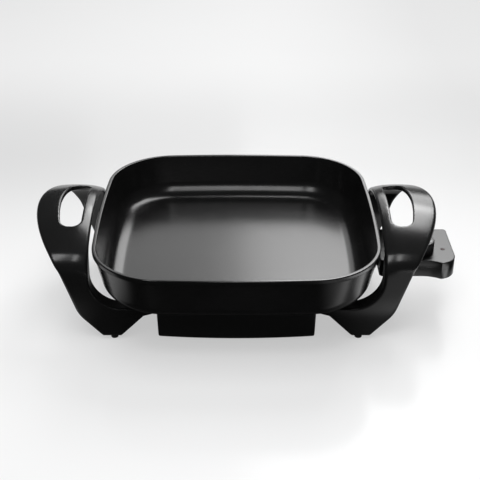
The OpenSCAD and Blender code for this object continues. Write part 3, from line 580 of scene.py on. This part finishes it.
slot_view = rounded([(slot_u0, slot_half, slot_in_r), (slot_u0, -slot_half, slot_in_r),
                     (slot_corner_u, -slot_half, slot_out_r), *slot_bow,
                     (slot_corner_u, slot_half, slot_out_r)], turn=6.0)


def outline_gap(points, outline):
    """Signed gap of flat points from a closed outline, negative inside, and its direction."""
    best = np.full(len(points), 1e18)
    near = np.zeros_like(points)
    inside = np.zeros(len(points), bool)
    for a, b in zip(outline, np.roll(outline, -1, axis=0)):
        along = b - a
        if along @ along < 1e-12:
            continue
        from_a = points - a
        share = np.clip(from_a @ along / (along @ along), 0, 1)[:, None]
        away = from_a - share * along
        far = (away ** 2).sum(axis=1)
        closer = far < best
        best[closer] = far[closer]
        near[closer] = away[closer]
        if along[1]:
            crossing = (a[1] > points[:, 1]) != (b[1] > points[:, 1])
            inside ^= crossing & (from_a[:, 0] < along[0] / along[1] * from_a[:, 1])
    gap = np.sqrt(best)
    side = np.where(inside, -1.0, 1.0)
    return side * gap, near * (side / np.maximum(gap, 1e-9))[:, None]


def soft_cut(a, b, r):
    """Keeps what is inside both fields with its edges rounded to r, and each field's share."""
    over_a, over_b = np.maximum(a + r, 0), np.maximum(b + r, 0)
    over = np.hypot(over_a, over_b)
    corner = over > 1e-9
    safe = np.where(corner, over, 1)
    share_a = np.where(corner, over_a / safe, a >= b)
    share_b = np.where(corner, over_b / safe, a < b)
    return np.minimum(np.maximum(a, b), -r) + over, share_a, share_b


def bore_gap(x, y, z):
    """Gap from the counterbores of the two screws, positive outside them."""
    return np.maximum(np.hypot(x - boss_u, np.abs(y) - boss_y) - counterbore_r, z - counterbore_z)


def hump(x, z):
    """How far the face of the grip falls away beside its middle line; legs stay flat."""
    rise = np.clip((z - hump_low_z) / hump_rise, 0, 1)
    fall = (x - hump_u) ** 2 / (2 * hump_r) + np.maximum(roll_u - x, 0) ** 2 / (2 * roll_r)
    return fall * rise * rise * (3 - 2 * rise)


views = (((0, 2), front_view), ((1, 2), over_view), ((1, 2), under_view),
         ((0, 1), plan_view), ((0, 1), slot_view))


def moulded(gaps, fall):
    """The handle's field from the gaps of its five views, and each view's share in it."""
    front, over, under, plan, slot = gaps
    over, under = over + fall, under + under_follow * fall
    body, by_front, by_side = soft_cut(front, np.maximum(over, -under), edge_r)
    body, by_body, by_plan = soft_cut(body, plan, grip_edge_r)
    body, by_rest, by_slot = soft_cut(body, -slot, slot_edge_r)
    by_over = np.where(over > -under, by_side, 0)
    keep = by_body * by_rest
    return body, (by_front * keep, by_over * keep, (by_over - by_side) * keep,
                  by_plan * by_rest, -by_slot)


def handle_at(points):
    """The handle's field at points, and which way is out."""
    gaps, ways = zip(*(outline_gap(points[:, flat], outline) for flat, outline in views))
    body, shares = moulded(gaps, hump(points[:, 0], points[:, 2]))
    out = np.zeros_like(points)
    for (flat, _), way, share in zip(views, ways, shares):
        out[:, flat] += share[:, None] * way
    return body, out


def skin(field, origin, pitch):
    """Points and quads of the surface where a sampled field crosses zero."""
    inside = field < 0
    corner = [np.array(c) for c in np.ndindex(2, 2, 2)]
    size = np.array(field.shape)
    filled = sum(inside[tuple(slice(k, n - 1 + k) for k, n in zip(c, size))].astype(int)
                 for c in corner)
    cells = np.argwhere((filled > 0) & (filled < 8))
    index = np.full(size - 1, -1)
    index[tuple(cells.T)] = np.arange(len(cells))
    at = [field[tuple((cells + c).T)] for c in corner]
    total, count = np.zeros((len(cells), 3)), np.zeros(len(cells))
    for i, a in enumerate(corner):
        for j, b in enumerate(corner):
            if i < j and np.abs(a - b).sum() == 1:
                cross = (at[i] < 0) != (at[j] < 0)
                share = at[i] / np.where(cross, at[i] - at[j], 1)
                total[cross] += (a + share[:, None] * (b - a))[cross]
                count[cross] += 1
    points = origin + pitch * (cells + total / count[:, None])
    quads = []
    for axis in range(3):
        u, v = (axis + 1) % 3, (axis + 2) % 3
        low = inside[tuple(slice(0, -1) if k == axis else slice(1, -1) for k in range(3))]
        high = inside[tuple(slice(1, None) if k == axis else slice(1, -1) for k in range(3))]
        for flip, where in ((False, low & ~high), (True, ~low & high)):
            at_edge = np.argwhere(where) + [0 if k == axis else 1 for k in range(3)]
            ring = []
            for du, dv in ((-1, -1), (0, -1), (0, 0), (-1, 0)):
                cell = at_edge.copy()
                cell[:, u] += du
                cell[:, v] += dv
                ring.append(index[tuple(cell.T)])
            quads.append(np.stack(ring[::-1] if flip else ring, axis=1))
    return points, np.concatenate(quads)


grain = 1.25
margin = 3.0
low = np.array((arm_end_u, -leg_y, leg_low_z)) - margin
high = np.array((outer_u, leg_y, handle_top_z)) + margin
spans = [low[k] + grain * np.arange(math.ceil((high[k] - low[k]) / grain) + 1) for k in range(3)]


def grid_gap(flat, outline):
    """The gap from one view's outline at every point of the grid."""
    a, b = flat
    points = np.stack(np.meshgrid(spans[a], spans[b], indexing="ij"), axis=-1)
    gap = outline_gap(points.reshape(-1, 2), outline)[0].reshape(points.shape[:2])
    return np.expand_dims(gap, 3 - a - b)


xs, ys, zs = np.ix_(*spans)
field = moulded([grid_gap(flat, outline) for flat, outline in views], hump(xs, zs))[0]
field = np.maximum(field, -bore_gap(xs, ys, zs))
skin_points, skin_quads = skin(field, low, grain)
in_bore = np.abs(bore_gap(*skin_points.T)) < 1.5 * grain
for _ in range(3):
    gap, out = handle_at(skin_points)
    gap[in_bore] = 0
    skin_points -= np.clip(gap, -grain, grain)[:, None] * out

phenolic, paint, place = finish("satin_phenolic", {"IOR": 1.5})
stipple = place.clouds(2600.0, 2.0)
flow = place.clouds(26.0, 3.0)
paint({
    "Base Color": (stipple * 0.4 + flow * 0.6).tint(grey(0.005), grey(0.009)),
    "Roughness": 0.17 + flow * 0.04 + stipple * 0.04,
    "Normal": stipple.relief(0.00002, 0.35),
})
for name, mirror in (("right_handle", 1), ("left_handle", -1)):
    handle = piece(name + "_moulding", skin_points * (mirror, 1, 1), skin_quads[:, ::mirror].tolist())
    handle.data.shade_smooth()
    coat(handle, phenolic)
    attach(handle, "cooker")
    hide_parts(name)

# Screws: bright steel machine screws with a cross recess. Four go up through the handles' arms into
# the pan's bosses, and two hold the terminal guard. The shield and the control have the same kind.
down = (0, 0, -1)


def screw_tree():
    """A turned screw with a cross recess, at each spot."""
    tree, wires = node_tree("recessed_screws", {
        "Recess Width": "Float", "Recess Length": "Float", "Recess Depth": "Float",
        "Finish": "Material"})
    section, spots = split_section(wires)
    screw = turn_section(section, 28)
    for along, across in (("X", "Y"), ("Y", "X")):
        size = screw.make("ShaderNodeCombineXYZ", {}, {
            along: wires["Recess Length"], across: wires["Recess Width"],
            "Z": wires["Recess Depth"] * 2})
        bar = size.make("GeometryNodeMeshCube", {}, {"Size": size})
        screw = screw.make("GeometryNodeMeshBoolean", {"operation": "DIFFERENCE", "solver": "EXACT"},
                           {"Mesh 1": screw, "Mesh 2": bar})
    stand_at(spots, screw, wires["Finish"])
    return tree


recessed_screws = screw_tree()


def screws(name, spots, facing, head, shank, body, node):
    """Screws whose heads top out at the spots; head and shank are each a radius and a length."""
    (head_r, head_h), (shank_r, shank_l) = head, shank
    made = aimed(name, spots, [
        (0, 0, 0), (head_r, -head_h * 0.25, head_h * 0.5), (head_r, -head_h, 0), (shank_r, -head_h, 0),
        (shank_r, -head_h - shank_l, 0.3), (0, -head_h - shank_l, 0)], facing)
    grow(made, recessed_screws, {
        "Recess Width": head_r * 0.28 * mm, "Recess Length": head_r * 1.15 * mm,
        "Recess Depth": head_h * 0.5 * mm, "Finish": steel})
    tidy(made, 30)
    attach(made, body)
    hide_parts(node)


screws("handle_fixings", four(boss_u, boss_y, counterbore_z - 3), down,
       head=(4.0, 3.0), shank=(2.0, 16.0), body="cooker", node="handle_screws")
screws("guard_fixings", [(guard_x0 + guard_sheet + 2, side * ear_y, pin_z) for side in (-1, 1)],
       (1, 0, 0), head=(2.7, 2.0), shank=(1.5, 10.0), body="cooker", node="guard_screws")

# Feet: four turned rubber buttons with a stem that plugs into the end of each leg. The sole of each
# one is a ring around a shallow dish.
rubber, paint, place = finish("black_rubber", {})
dust = place.clouds(900.0, 4.0)
paint({
    "Base Color": dust.tint(grey(0.008), grey(0.022)),
    "Roughness": 0.68 + dust * 0.2,
    "Normal": dust.relief(0.00005, 0.5),
})
foot_u, foot_y = inner_u - 24.5, leg_y - 7
foot_r, neck_r, stem_r = 4.2, 3.8, 2.5
stem_top_z = leg_low_z + 6.0
dish_z = 0.6
foot_section = [
    (0, dish_z, 0), (1.6, dish_z, 0.3), (2.0, 0, 0.3), (foot_r, 0, 1.0), (foot_r, 3.6, 0.4),
    (neck_r, 4.0, 0.3), (neck_r, leg_low_z, 0), (stem_r, leg_low_z, 0), (stem_r, stem_top_z, 0.5),
    (0, stem_top_z, 0)]
feet = turned("rubber_feet", foot_section, four(foot_u, foot_y, 0), rubber)
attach(feet, "cooker")
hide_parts("front_left_foot", "front_right_foot", "rear_left_foot", "rear_right_foot")

# Heat shield: a drawn steel tray in satin black heat paint, hung below the pan by four screws. Its
# front and rear bow outwards, its walls lean in, and a notch at the right clears the terminals. A
# bright steel reflector plate stands over its floor on four sleeves.
shield_w = 90.0
shield_d = 102.0
shield_bow = 5.0
shield_corner = 4.0
shield_low_z = 3.5
shield_sheet = 1.5
shield_lean = 1.5
notch_y = 16.5
notch_z = 51.5
post_u = 40.0
bow_r = (shield_w ** 2 + shield_bow ** 2) / (2 * shield_bow)
bow_a = math.asin(shield_w / bow_r)
bow_c = shield_d - bow_r
rear_bow = [(x, y, 0) for x, y in arc((0, bow_c), bow_r, math.pi / 2 - bow_a, math.pi / 2 + bow_a, 41)]
for end in (0, -1):
    rear_bow[end] = rear_bow[end][:2] + (shield_corner,)
front_bow = [(-x, -y, r) for x, y, r in rear_bow]
right_side = [(shield_w, y, 0) for y in (-60, -notch_y, -8, 0, 8, notch_y, 60)]
left_side = [(-shield_w, y, 0) for y in (60, 20, -20, -60)]
shield_view = rounded(rear_bow + left_side + front_bow + right_side, turn=9.0)
tray_h = bottom_z - shield_low_z


def outward_of(outline, even=False):
    """Which way is out at each point of an outline; even makes corners reach as far as the sides."""
    ahead = np.roll(outline, -1, axis=0) - outline
    ahead /= np.linalg.norm(ahead, axis=1)[:, None]
    along = ahead + np.roll(ahead, 1, axis=0)
    length = np.linalg.norm(along, axis=1)[:, None]
    along /= length ** 2 / 2 if even else length
    return np.stack((along[:, 1], -along[:, 0]), axis=1)


shield_out = outward_of(shield_view)


def tray_levels(inset, low_z, fold_r):
    """Rings of the tray's wall, from its top edge down to the fold at its floor."""
    drop = [(inset + shield_lean * (bottom_z - z) / tray_h, z) for z in (bottom_z, notch_z, 40, 25, 12)]
    fold_in = inset + shield_lean + fold_r
    bend = arc((fold_in, low_z + fold_r), fold_r, math.pi, math.pi * 1.5, 7)
    floor = [(fold_in + 0.2, low_z)]
    return [[(x, y, z) for x, y in shield_view - step * shield_out] for step, z in drop + bend + floor]


shield_rings = (tray_levels(0, shield_low_z, fold_r=2.0),
                tray_levels(shield_sheet, shield_low_z + shield_sheet, fold_r=0.7))
ring_count = len(shield_view)
level_count = len(shield_rings[0])
in_notch = [p[0] > shield_w - 1 and abs((p[1] + q[1]) / 2) < notch_y
            for p, q in zip(shield_view, np.roll(shield_view, -1, axis=0))]
tray_points = [p for rings in shield_rings for ring in rings for p in ring]


def tray_id(shell, level, i):
    """The number of a point of the outer (0) or inner (1) wall."""
    return (shell * level_count + level) * ring_count + i % ring_count


tray_faces = [tuple(tray_id(shell, level_count - 1, i) for i in range(ring_count)) for shell in (0, 1)]
for i in range(ring_count):
    top = 1 if in_notch[i] else 0
    for shell in (0, 1):
        for level in range(top, level_count - 1):
            tray_faces.append((tray_id(shell, level, i), tray_id(shell, level, i + 1),
                               tray_id(shell, level + 1, i + 1), tray_id(shell, level + 1, i)))
    tray_faces.append((tray_id(0, top, i), tray_id(1, top, i),
                       tray_id(1, top, i + 1), tray_id(0, top, i + 1)))
    if in_notch[i] != in_notch[i - 1]:
        tray_faces.append((tray_id(0, 0, i), tray_id(0, 1, i), tray_id(1, 1, i), tray_id(1, 0, i)))
shield = piece("heat_shield_tray", tray_points, tray_faces)
tidy(shield, 40)
heat_paint, paint, place = finish("black_heat_paint", {"IOR": 1.5})
peel = place.clouds(520.0, 3.0)
paint({
    "Base Color": peel.tint(grey(0.0065), grey(0.0125)),
    "Roughness": 0.30 + peel * 0.12,
    "Normal": peel.relief(0.00004, 0.4),
})
coat(shield, heat_paint)
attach(shield, "cooker")
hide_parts("heat_shield")
screws("shield_fixings", four(post_u, post_u, shield_low_z - 2), down,
       head=(4.0, 2.0), shank=(2.0, 11.5), body="cooker", node="shield_screws")
dress(steel, "reflector_plate", "spacer_sleeves")

# Control housing: two glossy black mouldings that meet at a fine joint line, held by four screws from
# below. The front wall sweeps out to a crease before the rounded corner; the top is flat and bare.
housing_x0, housing_x1 = 165.83, 253.83
housing_front = housing_rear = 38.0
housing_low_z, split_z, housing_top_z = 48.0, 61.0, 70.0
housing_wall = 2.0
housing_corner = 4.0
joint = 0.1
swell_r, swell_out = 20.0, 6.5
crease_a = math.radians(-83)
flare_l = 22.0
knob_u, knob_y = 215.83, -14.0
lamp_u, lamp_y = 241.83, -12.0
gland_u, gland_neck_r = 234.83, 6.0
nose_half_w, nose_half_h = 17.5, 6.0
play = 0.05
shaft_hole_r, lens_hole_r = 5.09, 2.65
fixing_in = 7.0
bore_r, sink_r, post_r = 1.7, 3.24, 4.1
sink_h, post_low, post_high = 2.5, 1.0, 12.9
swell = housing_x1 - swell_r, swell_r - housing_front - swell_out
swell_arc = arc(swell, swell_r, crease_a, 0, 26)
crease_x, crease_y = swell_arc[0]
flare_drop = -housing_front - crease_y
flare_r = (flare_l ** 2 + flare_drop ** 2) / (2 * flare_drop)
flare_x = crease_x - flare_l
flare_a = math.asin(flare_l / flare_r)
flare_c = flare_x, -housing_front - flare_r
flare_arc = arc(flare_c, flare_r, math.pi / 2, math.pi / 2 - flare_a, 14)[:-1]
rear_corners = rounded([
    (housing_x1, 0, 0), (housing_x1, housing_rear, housing_corner),
    (housing_x0, housing_rear, housing_corner), (housing_x0, -housing_front, housing_corner),
    (flare_x - 5, -housing_front, 0)], closed=False)
housing_view = np.array(flare_arc + swell_arc + list(rear_corners[1:-1]))
cavity_x0, cavity_x1 = housing_x0 + housing_wall, housing_x1 - housing_wall
cavity_half = housing_front - housing_wall
cavity_view = np.array([
    (cavity_x0, -cavity_half), (swell[0] - 2, -cavity_half),
    *arc(swell, swell_r - housing_wall, math.radians(-40), 0, 9),
    (cavity_x1, cavity_half), (cavity_x0, cavity_half)])
fixings = [(housing_x0 + fixing_in, fixing_in - housing_front),
           (housing_x0 + fixing_in, housing_rear - fixing_in),
           (housing_x1 - fixing_in, housing_rear - fixing_in),
           (swell[0], fixing_in / 2 - housing_front)]


def prism(name, outline, levels):
    """A block on an outline, drawn in by the given inset at each (inset, z) level."""
    outward = outward_of(outline, even=True)
    n = len(outline)
    points = [(x, y, z) for inset, z in levels for x, y in outline - inset * outward]
    faces = [(k * n + i, k * n + (i + 1) % n, (k + 1) * n + (i + 1) % n, (k + 1) * n + i)
             for k in range(len(levels) - 1) for i in range(n)]
    top = (len(levels) - 1) * n
    made = piece(name, points, faces + [tuple(reversed(range(n))), tuple(range(top, top + n))])
    tidy(made)
    return made


def rolled_edge(r, z, way):
    """Levels of a rounded edge and a flat rim that end at height z, going up (1) or down (-1)."""
    return arc((r, z - way * r), r, way * math.pi, way * math.pi / 2, 6) + [(r + 1.5, z)]


def housing_tools():
    """What both halves of the housing are cut with: gaps for the plug nose and the gland."""
    return [box_piece("nose_gap", (housing_x0 - 1, -nose_half_w - play, pin_z - nose_half_h - play),
                      (housing_x0 + 3, nose_half_w + play, pin_z + nose_half_h + play), 0.05),
            peg("gland_gap", (gland_u, housing_rear - 3, split_z), (gland_u, housing_rear + 2, split_z),
                gland_neck_r + play)]


gloss, paint, place = finish("gloss_moulding", {"IOR": 1.5})
wave = place.clouds(18.0, 2.0)
scuff = place.clouds(1400.0, 2.0)
flat_top = place.part("Z").step((housing_top_z - 1.0) * mm, (housing_top_z - 0.2) * mm)
paint({
    "Base Color": wave.tint(grey(0.004), grey(0.008)),
    "Roughness": 0.14 + flat_top * 0.18 + wave * 0.05 + scuff * 0.04,
    "Normal": scuff.relief(0.00001, 0.3),
})
upper = prism("upper_housing_shell", housing_view,
              [(joint, split_z), (0, split_z + joint)] + rolled_edge(0.9, housing_top_z, 1))
upper_hollow = prism("hollow", cavity_view, [(0, split_z - 1), (0, housing_top_z - housing_wall)])
carve(upper, [upper_hollow] + housing_tools()
      + [peg("bush_gap", (knob_u, knob_y, split_z), (knob_u, knob_y, housing_top_z + 1), shaft_hole_r),
         peg("lens_gap", (lamp_u, lamp_y, split_z), (lamp_u, lamp_y, housing_top_z + 1), lens_hole_r)])
tidy(upper)
lower = prism("lower_housing_shell", housing_view,
              rolled_edge(1.4, housing_low_z, -1)[::-1] + [(0, split_z - joint), (joint, split_z)])
lower_hollow = prism("hollow", cavity_view, [(0, housing_low_z + housing_wall), (0, split_z + 1)])
carve(lower, [lower_hollow] + housing_tools()
      + [peg("screw_gap", (x, y, housing_low_z - 1), (x, y, housing_low_z + 4), sink_r)
         for x, y in fixings])
post_section = [
    (bore_r, sink_h, 0), (sink_r, sink_h, 0), (sink_r, post_low, 0), (post_r, post_low, 0),
    (post_r, post_high, 0.4), (bore_r, post_high, 0.3), (bore_r, sink_h, 0)]
posts = turned("screw_posts", post_section, [(x, y, housing_low_z) for x, y in fixings], gloss)
combine(lower, [posts])
tidy(lower)
for shell, node, slot in ((upper, "upper_housing", "gloss_black"),
                          (lower, "lower_housing", "moulded_black")):
    coat(shell, gloss)
    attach(shell, "control")
    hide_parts(node)
screws("housing_fixings", [(x, y, housing_low_z + 0.5) for x, y in fixings], down,
       head=(2.94, 2.0), shank=(1.4, 16.5), body="control", node="housing_screws")

# Plug nose: a phenolic block whose flange is held between the two halves of the housing. The steel
# sensor tube runs through its middle, and a brass contact on either side takes a terminal pin.
nose_x, nose_end = housing_x0 - 17.0, cavity_x0 + 3.0
flange_w = 1.5
tube_pass_r, pin_pass_r, contact_pass_r = 3.05, 2.7, 3.64


def nose_tools():
    """Pegs for the holes of the plug nose: for the sensor tube, the two pins and their contacts."""
    holes = [peg("hole", (nose_x - 1, 0, pin_z), (nose_end + 1, 0, pin_z), tube_pass_r)]
    for y in (-pin_y, pin_y):
        holes += [peg("hole", (nose_x - 1, y, pin_z), (nose_x + 5, y, pin_z), pin_pass_r),
                  peg("hole", (nose_x + 4, y, pin_z), (nose_end + 1, y, pin_z), contact_pass_r)]
    return holes


nose = box_piece("plug_nose_moulding", (nose_x, -nose_half_w, pin_z - nose_half_h),
                 (nose_end - 0.2, nose_half_w, pin_z + nose_half_h), 1.2)
flange = box_piece("flange", (cavity_x0, -nose_half_w - flange_w, housing_low_z + housing_wall),
                   (nose_end, nose_half_w + flange_w, pin_z + nose_half_h + flange_w), 0.4)
for block in (nose, flange):
    carve(block, nose_tools())
combine(nose, [flange])
tidy(nose, 30)
coat(nose, phenolic)
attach(nose, "control")
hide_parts("plug_nose")
dress(steel, "sensor_tube")
dress(brass, "contact_sleeves")

# Thermostat switch: two brass blades on a ceramic base and spacer inside the housing. The knob's
# shaft comes down to them through a brass bush in the top.
dress(brass, "fixed_blade", "moving_blade", "knob_bush")
dress(bisque, "switch_base", "switch_spacer")

# Lamp and its lens: a neon bulb of clear glass stands under a small window of tinted plastic. The
# window is pressed into the top from inside, up to its flange.
neon, paint, place = finish("neon_glass", {"IOR": 1.5})
film = place.clouds(400.0, 3.0)
paint({
    "Base Color": film.tint((0.55, 0.22, 0.12, 1), (0.75, 0.40, 0.25, 1)),
    "Roughness": 0.08 + film * 0.08,
    "Normal": film.relief(0.00001, 0.2),
})
dress(neon, "neon_lamp")
lens_tint, paint, place = finish("tinted_lens", {"IOR": 1.3})
swirl = place.clouds(700.0, 3.0)
paint({
    "Base Color": swirl.tint((0.016, 0.004, 0.004, 1), (0.034, 0.008, 0.007, 1)),
    "Roughness": 0.42 + swirl * 0.1,
    "Normal": swirl.relief(0.00001, 0.2),
})
lens_r, lens_flange_r = 2.6, 4.0
lens_low_z, lens_top_z = housing_top_z - 3.5, housing_top_z + 0.3
lens_seat_z = housing_top_z - housing_wall
lens_section = [
    (0, lens_low_z, 0), (lens_flange_r, lens_low_z, 0.2), (lens_flange_r, lens_seat_z, 0.2),
    (lens_r, lens_seat_z, 0), (lens_r, lens_top_z - 0.2, 0.3), (lens_r - 1.0, lens_top_z, 0.8),
    (0, lens_top_z, 0)]
lens = turned("lamp_window", lens_section, [(lamp_u, lamp_y, 0)], lens_tint)
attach(lens, "control")
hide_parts("lamp_lens")

# Cord gland: a moulded rubber bush, pressed into the rear wall where the two halves meet. It has a
# flange inside the wall and a ribbed sleeve outside that tapers away from it.
gland_hole_r, gland_flange_r, sleeve_r, sleeve_end_r = 3.6, 6.8, 8.0, 6.0
gland_low, gland_high = -5.0, 12.0
rib_r, rib_step = 7.0, 2.4
ribs = []
for k in range(4):
    out_r, in_r, z = sleeve_r - 0.55 * k, rib_r - 0.4 * k, rib_step * k
    ribs += [(out_r, z + 2.2, 0.4), (out_r, z + 3.6, 0.4), (in_r, z + 3.8, 0.2), (in_r, z + 4.4, 0.2)]
gland_section = [
    (gland_hole_r, gland_low, 0), (gland_flange_r, gland_low, 0.4), (gland_flange_r, -housing_wall, 0),
    (gland_neck_r, -housing_wall, 0), (gland_neck_r, 0, 0), (sleeve_r, 0, 0.4), *ribs[1:-2],
    (sleeve_end_r, gland_high, 0.4), (gland_hole_r, gland_high, 0.4), (gland_hole_r, gland_low, 0)]
gland = turned("cord_gland_sleeve", gland_section, [(gland_u, housing_rear, split_z)], rubber,
               facing=(0, 1, 0))
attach(gland, "control")
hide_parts("cord_gland")

# Knob: a glossy black dial with thirty grip flutes, a satin grey cap let into its top and a white
# pointer printed in the cap. It is pressed on a steel shaft that a clip holds in the bush.
knob_low_z, knob_h, knob_r = 70.4, 13.6, 15.0
grip_low, grip_high = 0.8, 12.4
flutes, flute_depth = 30, 0.8
cap_r, cap_deep = 12.6, 0.8


def fluted_tree():
    """Presses grip flutes into the side of a turned knob."""
    tree, wires = node_tree("grip_flutes", {
        "Flutes": "Int", "Depth": "Float", "Grip Radius": "Float", "Low": "Float", "High": "Float",
        "Axis X": "Float", "Axis Y": "Float", "Finish": "Material"})
    start = wires["Geometry"]
    spot = start.make("GeometryNodeInputPosition")
    x, y = spot.part("X") - wires["Axis X"], spot.part("Y") - wires["Axis Y"]
    z = spot.part("Z")
    reach = (x * x + y * y).math("SQRT")
    wave = (y.math("ARCTAN2", x) * wires["Flutes"]).math("COSINE")
    groove = (wave * 0.5 + 0.5).math("POWER", 1.6)
    on_side = reach.step(wires["Grip Radius"] - 0.6 * mm, wires["Grip Radius"] - 0.1 * mm)
    low_end = z.step(wires["Low"], wires["Low"] + 1.2 * mm)
    high_end = 1 - z.step(wires["High"] - 1.6 * mm, wires["High"])
    pull = groove * on_side * (low_end * high_end) * wires["Depth"] / reach * -1
    shift = pull.make("ShaderNodeCombineXYZ", {}, {"X": x * pull, "Y": y * pull})
    fluted = start.make("GeometryNodeSetPosition", {}, {"Geometry": start, "Offset": shift})
    end_tree(fluted, wires["Finish"])
    return tree


grip_side = [(knob_r, grip_low + k * 0.55, 0) for k in range(21)]
top_edge = [(knob_r, 12.2, 0), (14.9, 12.7, 0), (14.6, 13.2, 0), (14.1, 13.5, 0), (13.5, knob_h, 0)]
cap_seat = [(cap_r + 0.1, knob_h, 0), (cap_r + 0.1, knob_h - cap_deep, 0), (0, knob_h - cap_deep, 0)]
knob_section = [(0, 0, 0), (14.0, 0, 0)] + grip_side + top_edge + cap_seat
knob = turned("dial_knob", knob_section, [(knob_u, knob_y, knob_low_z)], gloss, steps=360)
knob_axis = pan_x + knob_u * mm, knob_y * mm
grow(knob, fluted_tree(), {
    "Flutes": flutes, "Depth": flute_depth * mm, "Grip Radius": knob_r * mm,
    "Low": (knob_low_z + grip_low) * mm, "High": (knob_low_z + grip_high) * mm,
    "Axis X": knob_axis[0], "Axis Y": knob_axis[1], "Finish": gloss})
tidy(knob, 40)
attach(knob, "knob")
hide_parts("knob")
cap_grey, paint, place = finish("satin_grey_cap", {"IOR": 1.5})
centred = place.make("ShaderNodeMapping", {},
                     {"Vector": place, "Location": (-knob_axis[0], -knob_axis[1], 0)})
cap_x, cap_y = centred.part("X"), centred.part("Y")
spin = (cap_x * cap_x + cap_y * cap_y).math("SQRT") * 2600.0
rings = (spin + place.clouds(90.0) * 4.0).math("SINE") * 0.5 + 0.5
paint({
    "Base Color": rings.tint(grey(0.13), grey(0.19)),
    "Roughness": 0.42 + rings * 0.1,
    "Normal": rings.relief(0.00001, 0.3),
})
dress(cap_grey, "knob_cap")
ink, paint, place = finish("white_print", {})
pinholes = place.clouds(2400.0, 3.0)
paint({
    "Base Color": pinholes.tint(grey(0.72), grey(0.86)),
    "Roughness": 0.42 + pinholes * 0.15,
    "Normal": pinholes.relief(0.00001, 0.3),
})
dress(ink, "knob_pointer")
dress(steel, "knob_shaft", "shaft_clip")

# Stage: a pale table under soft boxes, and the camera of the picture. To mirror rays the table is black,
# with painted patches of light beside, behind and in front of the object: painted reflections that give
# its black walls their sheen.
table_half = 40.0
table = bpy.data.meshes.new("pale_table")
table.from_pydata([(x * table_half, y * table_half, 0) for x, y in ((-1, -1), (1, -1), (1, 1), (-1, 1))],
                  [], [(0, 1, 2, 3)])
stage = bpy.data.objects.new("pale_table", table)
bpy.context.scene.collection.objects.link(stage)
pale, paint, place = finish("pale_table", {
    "IOR": 1.4, "Specular IOR Level": 0.12, "Emission Strength": 1.0})
seen = place.make("ShaderNodeLightPath", out="Is Camera Ray")
mirrored = place.make("ShaderNodeLightPath", out="Is Glossy Ray")
across, deep = place.part("X"), place.part("Y")
# Painted reflections: glowing patches on the table that only mirror rays see. The band is painted shade
# in them, which keeps the control's front dark.
right_gap = across.step(0.29, 0.34) * (1 - across.step(0.38, 0.46))
beside = across.math("ABSOLUTE").step(0.13, 0.19) * (1 - right_gap)
behind = (deep.step(-0.11, -0.07) * beside).math("MAXIMUM", deep.step(0.17, 0.25))
left_patch = (1 - across.step(-0.25, -0.17)) * deep.step(-0.19, -0.15)
painted_shade_band = deep.step(-0.154, -0.147) * (1 - deep.step(-0.126, -0.112) * across.step(0.18, 0.2) * 0.6)
right_patch = across.step(0.09, 0.19) * (1 - across.step(0.235, 0.26))
right_patch = right_patch * (0.5 + deep.step(-0.185, -0.165) * 0.75) * (1 - painted_shade_band * 0.85)
strip = across.step(0.262, 0.285) * (1 - across.step(0.33, 0.37)) * 2.6
in_front = (strip + right_patch) * (1 - deep.step(-0.09, -0.05))
sheen = 0.02 + behind.math("MAXIMUM", left_patch) * 0.78 + in_front
# Painted shade: the table's colour is darker towards the rear and the right, where the soft boxes light
# it most, so that it renders evenly pale.
lamp_side = deep.step(0.0, 0.6) * 0.5 + across.step(0.0, 0.5) * 0.5
painted_shade_tone = (place.clouds(3.0) * 0.1 + lamp_side).tint(grey(0.34), grey(0.17))
# The camera sees the table's own glow, with painted shade just behind the object and painted light far
# back, which even out the soft boxes' light.
backdrop = 0.49 - deep.step(0.0, 0.45) * 0.14 + deep.step(0.3, 0.9) * 0.2
paint({
    "Base Color": mirrored.tint(painted_shade_tone, grey(0.0)),
    "Roughness": 0.16 + place.clouds(8.0) * 0.05,
    "Emission Color": seen * backdrop + mirrored * sheen,
})
table.materials.append(pale)


def soft_box(name, spot, aim, width, depth, glow, mirrored=True):
    """A rectangular lamp that faces a point; glow is how bright its face looks."""
    lamp = bpy.data.lights.new(name, "AREA")
    lamp.shape = "RECTANGLE"
    lamp.size, lamp.size_y = width, depth
    lamp.energy = glow * width * depth * math.pi
    made = bpy.data.objects.new(name, lamp)
    made.location = spot
    made.rotation_euler = (Vector(aim) - Vector(spot)).to_track_quat("-Z", "Y").to_euler()
    made.visible_glossy = mirrored
    bpy.context.scene.collection.objects.link(made)


soft_box("rear_left_box", (-0.285, 2.1, 1.35), (-0.285, 0, 0.1), 0.57, 1.3, 1.45)
soft_box("rear_right_box", (0.575, 2.1, 1.35), (0.575, 0, 0.1), 1.15, 1.3, 3.8)
soft_box("high_right_box", (0.43, 1.08, 1.51), (0.2, 0, 0.13), 0.86, 1.0, 7.5)
soft_box("left_front_box", (-0.58, -1.015, 1.57), (-0.25, -0.09, 0.1), 0.34, 0.94, 6.0)
soft_box("right_front_box", (0.04, -1.04, 1.57), (0.15, -0.09, 0.1), 0.25, 0.94, 6.0)
soft_box("top_box", (0, -0.35, 1.7), (0, -0.1, 0), 1.2, 1.2, 3.4, mirrored=False)
world = bpy.data.worlds.new("studio")
world.use_nodes = True
air = world.node_tree.nodes["Background"]
air.inputs["Color"].default_value = (0.96, 0.98, 1.0, 1)
glossy = Wire(world.node_tree, world.node_tree.nodes.new("ShaderNodeLightPath").outputs["Is Glossy Ray"])
glossy.join(0.30 - glossy * 0.26, air.inputs["Strength"])
bpy.context.scene.world = world

lens_data = bpy.data.cameras.new("picture")
lens_data.lens = 75.0
lens_data.sensor_width = 36.0
camera = bpy.data.objects.new("picture", lens_data)
camera.location = (0.004 + pan_x, -1.035, 0.647)
camera.rotation_euler = (math.radians(61.1), 0, 0)
bpy.context.scene.collection.objects.link(camera)
bpy.context.scene.camera = camera
bpy.context.scene.view_settings.view_transform = "Standard"
